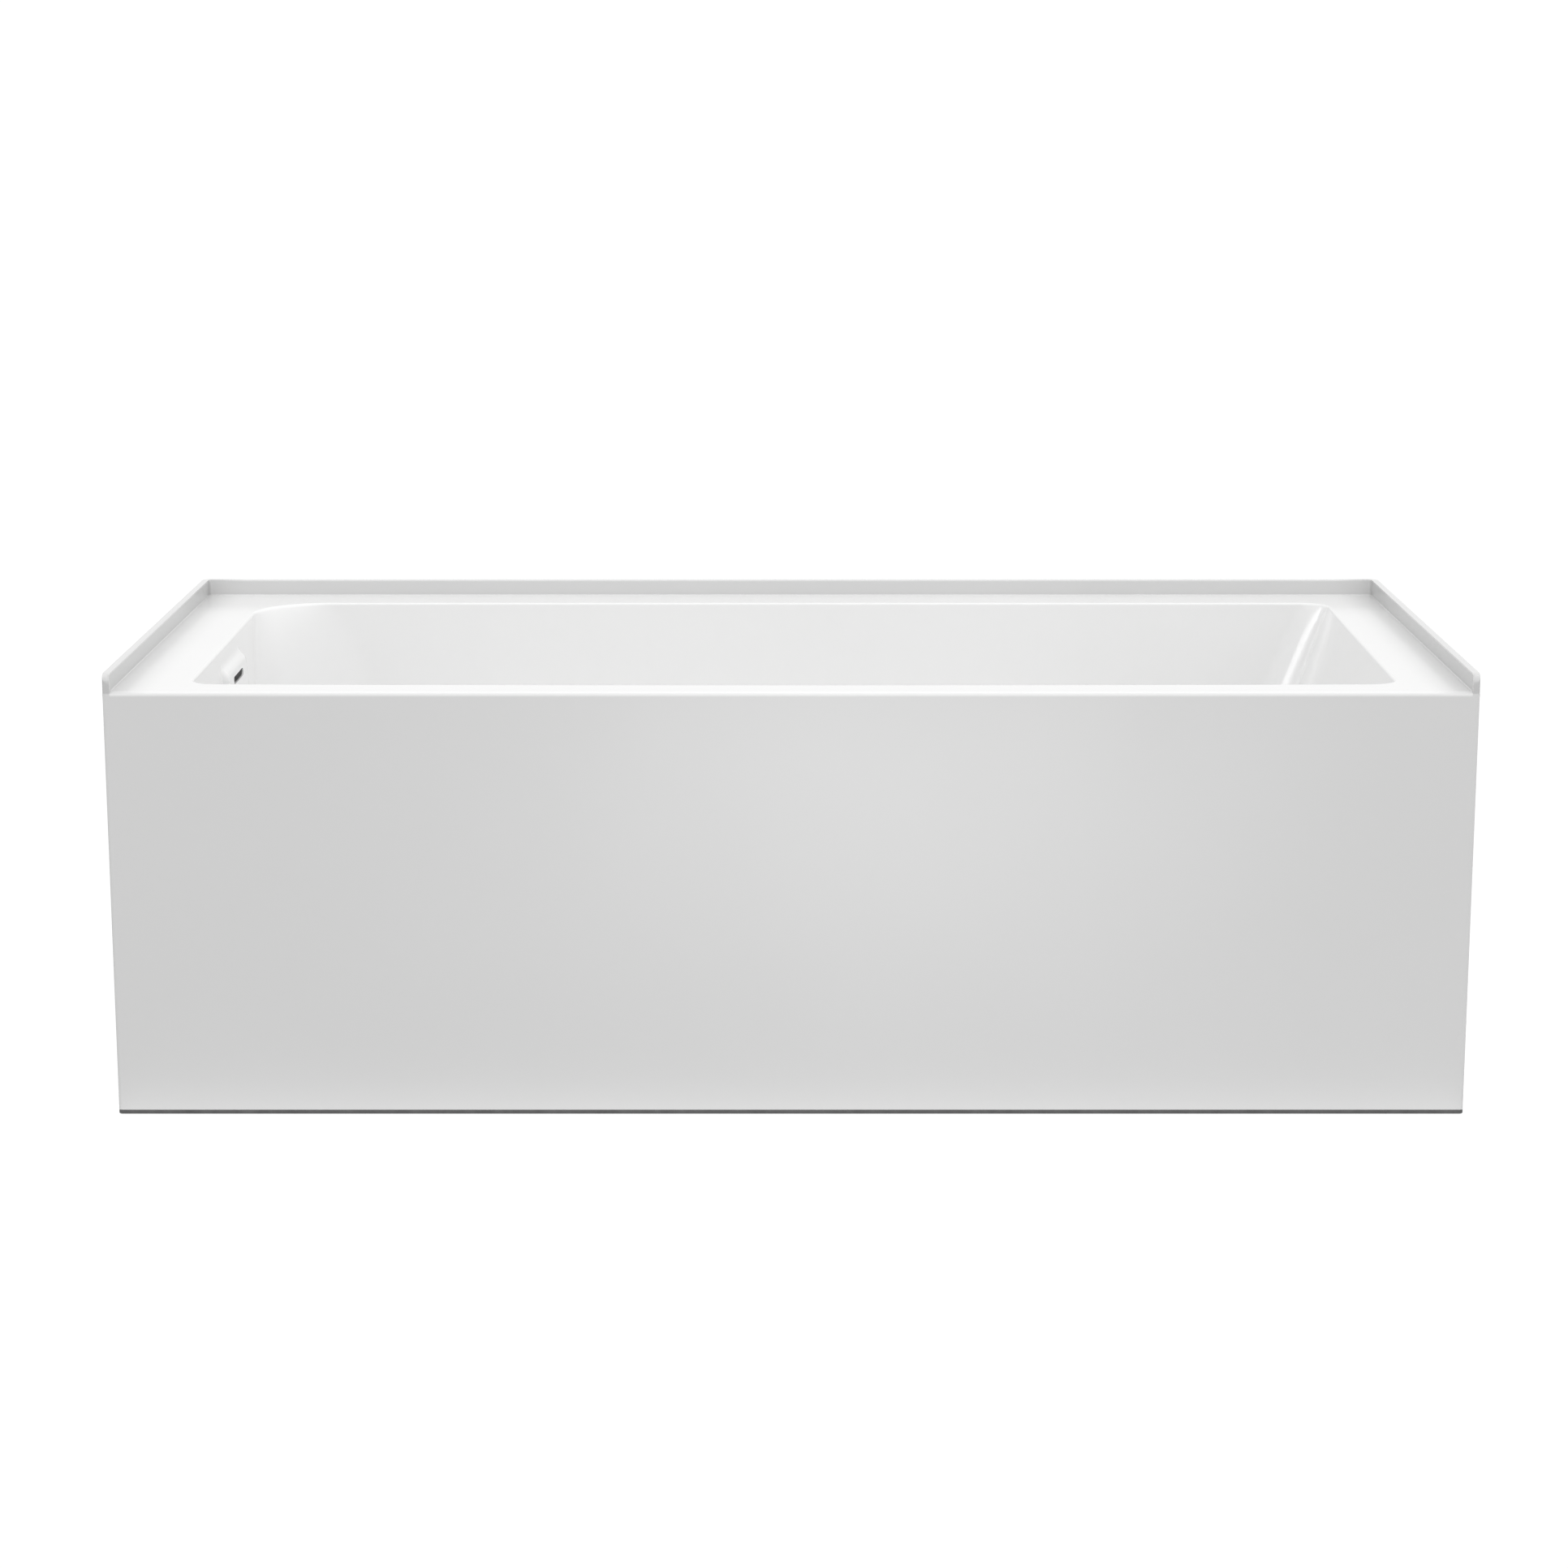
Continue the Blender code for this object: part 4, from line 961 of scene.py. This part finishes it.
def drain_shoe(x, y):
    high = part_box("drain_shoe")[1]
    hub = [(0.0350, high.z), (0.0355, high.z - 0.0005), (0.0355, high.z - 0.0034), (0.0349, high.z - 0.0040)]
    hub += [(0.0300, high.z - 0.0040), (0.0285, high.z - 0.0056), (0.0285, 0.0330)]
    hub += [(0.0270, 0.0295), (0.0240, 0.0280), (0.0, 0.0280)]
    branch = turn([(FITTING_TIP_R, 0.0), (FITTING_R, FITTING_EASE), (FITTING_R, 0.050)], sides=64)
    lay_along_x(branch, 0, 0)
    branch.data.transform(Matrix.Translation((x - 0.050, y, WASTE_Z)))
    bore = lay_along_x(rod(PIPE_BORE_R, 0.0, 0.07), 0, 0)
    bore.data.transform(Matrix.Translation((x - 0.07, y, WASTE_Z)))
    shoe = join(turn(hub, x, y, 72), branch)
    shoe = cut(shoe, rod(0.0245, 0.032, 0.15, x, y), bore)
    show(shoe, "drain_shoe_moulded", "tub", "black_plastic", ["drain_shoe"])


# ---------------------------------------------------------------- waste and overflow


def pipe_profile(outer, inner, low, high, ease=0.0005):
    profile = [(outer - ease, high), (outer, high - ease), (outer, low + ease), (outer - ease, low)]
    return profile + [(inner + ease, low), (inner, low + ease), (inner, high - ease), (inner + ease, high)]


def upright_pipe(node):
    low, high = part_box(node)
    pipe = turn(pipe_profile(PIPE_R, PIPE_BORE_R, low.z, high.z), PLUMB_X, BASIN_MID_Y, 72, wrap=True)
    show(pipe, node + "_tube", "tub", "white_pipe", [node])


def slip_nut(node, along):
    """A hand-tightened nut with ribs round it, on the node's own box."""
    low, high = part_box(node)
    index = "XYZ".index(along)
    length = high[index] - low[index]
    ribs = 24
    rings = []
    steps = [(0.0, 0.955), (0.0009, 1.0), (length * 0.72, 1.0), (length * 0.78, 0.93)]
    steps += [(length - 0.0008, 0.93), (length, 0.90)]
    for height, scale in steps:
        ring = []
        for i in range(ribs * 6):
            ridge = 0.5 + 0.5 * math.cos(2 * math.pi * i / 6)
            r = SLIP_NUT_R * scale
            if scale == 1.0:
                r -= 0.0016 * (1 - ridge**0.6)
            angle = 2 * math.pi * i / (ribs * 6)
            ring.append((r * math.cos(angle), r * math.sin(angle), height))
        rings.append(ring)
    nut = cut(loft("nut", rings), rod(FITTING_R + GAP, -0.01, length + 0.01))
    if along == "X":
        lay_along_x(nut, 0, 0)
    middle = (low + high) / 2
    middle[index] = low[index]
    nut.data.transform(Matrix.Translation(middle))
    show(nut, node + "_ribbed", "tub", "white_pipe", [node])


def waste_tee():
    low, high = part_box("waste_tee")
    y = BASIN_MID_Y
    profile = [(FITTING_TIP_R, high.z), (FITTING_R, high.z - FITTING_EASE)]
    profile += [(FITTING_R, low.z + FITTING_EASE), (FITTING_TIP_R, low.z)]
    run = turn(profile, PLUMB_X, y, 72)
    reach = high.x - PLUMB_X
    branch = turn([(FITTING_R, 0.0), (FITTING_R, reach - FITTING_EASE), (FITTING_TIP_R, reach)], sides=72)
    lay_along_x(branch, 0, 0)
    branch.data.transform(Matrix.Translation((PLUMB_X, y, WASTE_Z)))
    bore_b = lay_along_x(rod(PIPE_BORE_R, 0.0, 0.1), 0, 0)
    bore_b.data.transform(Matrix.Translation((PLUMB_X, y, WASTE_Z)))
    tee = cut(join(run, branch), rod(PIPE_BORE_R, 0.0, 0.12, PLUMB_X, y), bore_b)
    show(tee, "waste_tee_moulded", "tub", "white_pipe", ["waste_tee"])


def waste_arm():
    low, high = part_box("waste_arm")
    arm = turn(pipe_profile(PIPE_R, PIPE_BORE_R, 0.0, high.x - low.x), sides=72, wrap=True)
    lay_along_x(arm, 0, 0)
    arm.data.transform(Matrix.Translation((low.x, BASIN_MID_Y, WASTE_Z)))
    show(arm, "waste_arm_tube", "tub", "white_pipe", ["waste_arm"])


def overflow_housing():
    low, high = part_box("overflow_housing")
    y, wall, half = BASIN_MID_Y, 0.003, HOUSING_HALF
    floor_z, roof_z = SLOT_Z - HOUSING_HIGH, SLOT_Z + HOUSING_HIGH
    shell = bevelled(box((low.x, high.x), (y - half, y + half), (floor_z, roof_z)), 0.0025, 4)
    profile = [(FITTING_R, floor_z + wall), (FITTING_R, low.z + FITTING_EASE), (FITTING_TIP_R, low.z)]
    spigot = turn(profile, PLUMB_X, y, 72)
    room = box((low.x + wall, 0), (y - half + wall, y + half - wall), (floor_z + wall, roof_z - wall))
    shell = cut(join(shell, spigot), room, rod(PIPE_BORE_R, 0.3, SLOT_Z, PLUMB_X, y))
    show(shell, "overflow_housing_moulded", "tub", "black_plastic", ["overflow_housing"])


def overflow_gasket():
    low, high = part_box("overflow_gasket")
    y = BASIN_MID_Y
    rings = []
    points = rounded_rectangle((low.y, high.y), (low.z, high.z), 0.004, 6)
    rings.append([(low.x, v, z) for v, z in points])
    rings.append([(end_wall_x(z, SKIN + BACKING + 3 * GAP), v, z) for v, z in points])
    across = (y - OVERFLOW_HOLE_HALF, y + OVERFLOW_HOLE_HALF)
    hole = rounded_rectangle(across, (SLOT_Z - 0.0135, SLOT_Z + 0.0135), 0.002, 4)
    gasket = cut(loft("gasket", rings), prism(hole, "X", -0.75, -0.6))
    show(gasket, "overflow_gasket_foam", "tub", "black_rubber", ["overflow_gasket"])


# ---------------------------------------------------------------- studio


def place_light(name, data, place, aim, glossy, diffuse=True):
    made = bpy.data.objects.new(name, data)
    made.location = place
    made.rotation_euler = (Vector(aim) - Vector(place)).to_track_quat("-Z", "Y").to_euler()
    made.visible_camera = False
    made.visible_glossy = glossy
    made.visible_diffuse = diffuse
    bpy.context.scene.collection.objects.link(made)


def area_light(name, place, aim, size, power, glossy=False, diffuse=True):
    data = bpy.data.lights.new(name, "AREA")
    data.shape = "RECTANGLE"
    data.size, data.size_y = size
    data.energy = power
    place_light(name, data, place, aim, glossy, diffuse)


def far_light(name, place, power):
    """A wide soft light a long way off, in the direction of the given place."""
    data = bpy.data.lights.new(name, "SUN")
    data.angle = math.radians(30)
    data.energy = power
    place_light(name, data, place, (0.0, 0.0, 0.0), False)


def studio_world(light):
    """White to the camera, and a plain even light on everything else."""
    world = bpy.data.worlds.new("studio")
    world.use_nodes = True
    bpy.context.scene.world = world
    tree = world.node_tree
    seen = tree.nodes["Background"]
    seen.inputs["Color"].default_value = (1.0, 1.0, 1.0, 1.0)
    seen.inputs["Strength"].default_value = 1.05
    even = tree.nodes.new("ShaderNodeBackground")
    even.name = "even_light"
    even.inputs["Color"].default_value = (1.0, 1.0, 1.0, 1.0)
    even.inputs["Strength"].default_value = light
    rays = tree.nodes.new("ShaderNodeLightPath")
    blend = tree.nodes.new("ShaderNodeMixShader")
    tree.links.new(rays.outputs["Is Camera Ray"], blend.inputs[0])
    tree.links.new(even.outputs[0], blend.inputs[1])
    tree.links.new(seen.outputs[0], blend.inputs[2])
    tree.links.new(blend.outputs[0], tree.nodes["World Output"].inputs["Surface"])


def studio_floor(glow):
    """White to the camera, weakly lit to everything else, and clear from underneath."""
    corners = [(-30.0, -30.0, 0), (30.0, -30.0, 0), (30.0, 30.0, 0), (-30.0, 30.0, 0)]
    floor = new_object("floor", corners, [(0, 1, 2, 3)])
    floor.location.z = -GAP
    made = bpy.data.materials.new("studio_floor")
    made.use_nodes = True
    tree = made.node_tree
    shader = tree.nodes["Principled BSDF"]
    shader.inputs["Base Color"].default_value = (0.30, 0.30, 0.30, 1.0)
    shader.inputs["Roughness"].default_value = 0.9
    shader.inputs["Specular IOR Level"].default_value = 0.0
    shader.inputs["Emission Color"].default_value = (1.0, 1.0, 1.0, 1.0)
    shader.inputs["Emission Strength"].default_value = glow
    seen = tree.nodes.new("ShaderNodeEmission")
    seen.inputs["Color"].default_value = (1.0, 1.0, 1.0, 1.0)
    seen.inputs["Strength"].default_value = 1.05
    rays = tree.nodes.new("ShaderNodeLightPath")
    blend = tree.nodes.new("ShaderNodeMixShader")
    tree.links.new(rays.outputs["Is Camera Ray"], blend.inputs[0])
    tree.links.new(shader.outputs[0], blend.inputs[1])
    tree.links.new(seen.outputs[0], blend.inputs[2])
    side = tree.nodes.new("ShaderNodeNewGeometry")
    clear = tree.nodes.new("ShaderNodeBsdfTransparent")
    either = tree.nodes.new("ShaderNodeMixShader")
    tree.links.new(side.outputs["Backfacing"], either.inputs[0])
    tree.links.new(blend.outputs[0], either.inputs[1])
    tree.links.new(clear.outputs[0], either.inputs[2])
    tree.links.new(either.outputs[0], tree.nodes["Material Output"].inputs["Surface"])
    floor.data.materials.append(made)


def studio_camera():
    data = bpy.data.cameras.new("camera")
    data.sensor_width = 36.0
    data.lens = 88.12
    made = bpy.data.objects.new("camera", data)
    made.location = (-0.0079, -4.565, 1.193)
    made.rotation_euler = (math.radians(78.997), 0.0, 0.0)
    bpy.context.scene.collection.objects.link(made)
    bpy.context.scene.camera = made


acrylic_skin()
fibreglass_backing()
apron_foot_strip()
boards()
bearers()
bearer_screws()
feet()
drain()
for node in ("overflow_pipe", "tailpiece"):
    upright_pipe(node)
waste_tee()
waste_arm()
overflow_housing()
overflow_gasket()
for node in ("slip_nut_overflow_top", "slip_nut_tee_top", "slip_nut_tee_bottom"):
    slip_nut(node, "Z")
for node in ("slip_nut_tee_branch", "slip_nut_shoe"):
    slip_nut(node, "X")

bpy.context.scene.view_settings.view_transform = "Standard"
studio_world(0.90)
studio_floor(0.02)
studio_camera()
far_light("far_above", (0.0, 0.0, 5.0), 0.6)
far_light("far_right", (4.2, 1.6, 2.1), 0.42)
far_light("far_front", (0.0, -3.830, 3.214), 0.50)
area_light("apron_glow", (0.1, FRONT - 0.35, 0.38), (0.1, FRONT, 0.38), (0.6, 0.1), 0.22)
area_light("foot_glow", (0.0, FRONT - 0.021, 0.0008), (0.0, FRONT - 0.021, 1.0), (1.52, 0.04), 0.068)
area_light("crease_glint", (-2.15, 0.50, 1.4), (0.65, 0.3, 0.42), (2.1, 1.0), 30, True, False)
area_light("basin_glow", (-0.05, 0.05, 0.28), (-0.05, 0.30, 0.34), (0.9, 0.1), 0.10)
area_light("edge_glint", (0.0, 0.3, 3.0), (0.0, 0.3, 0.42), (2.4, 1.6), 5, True, False)
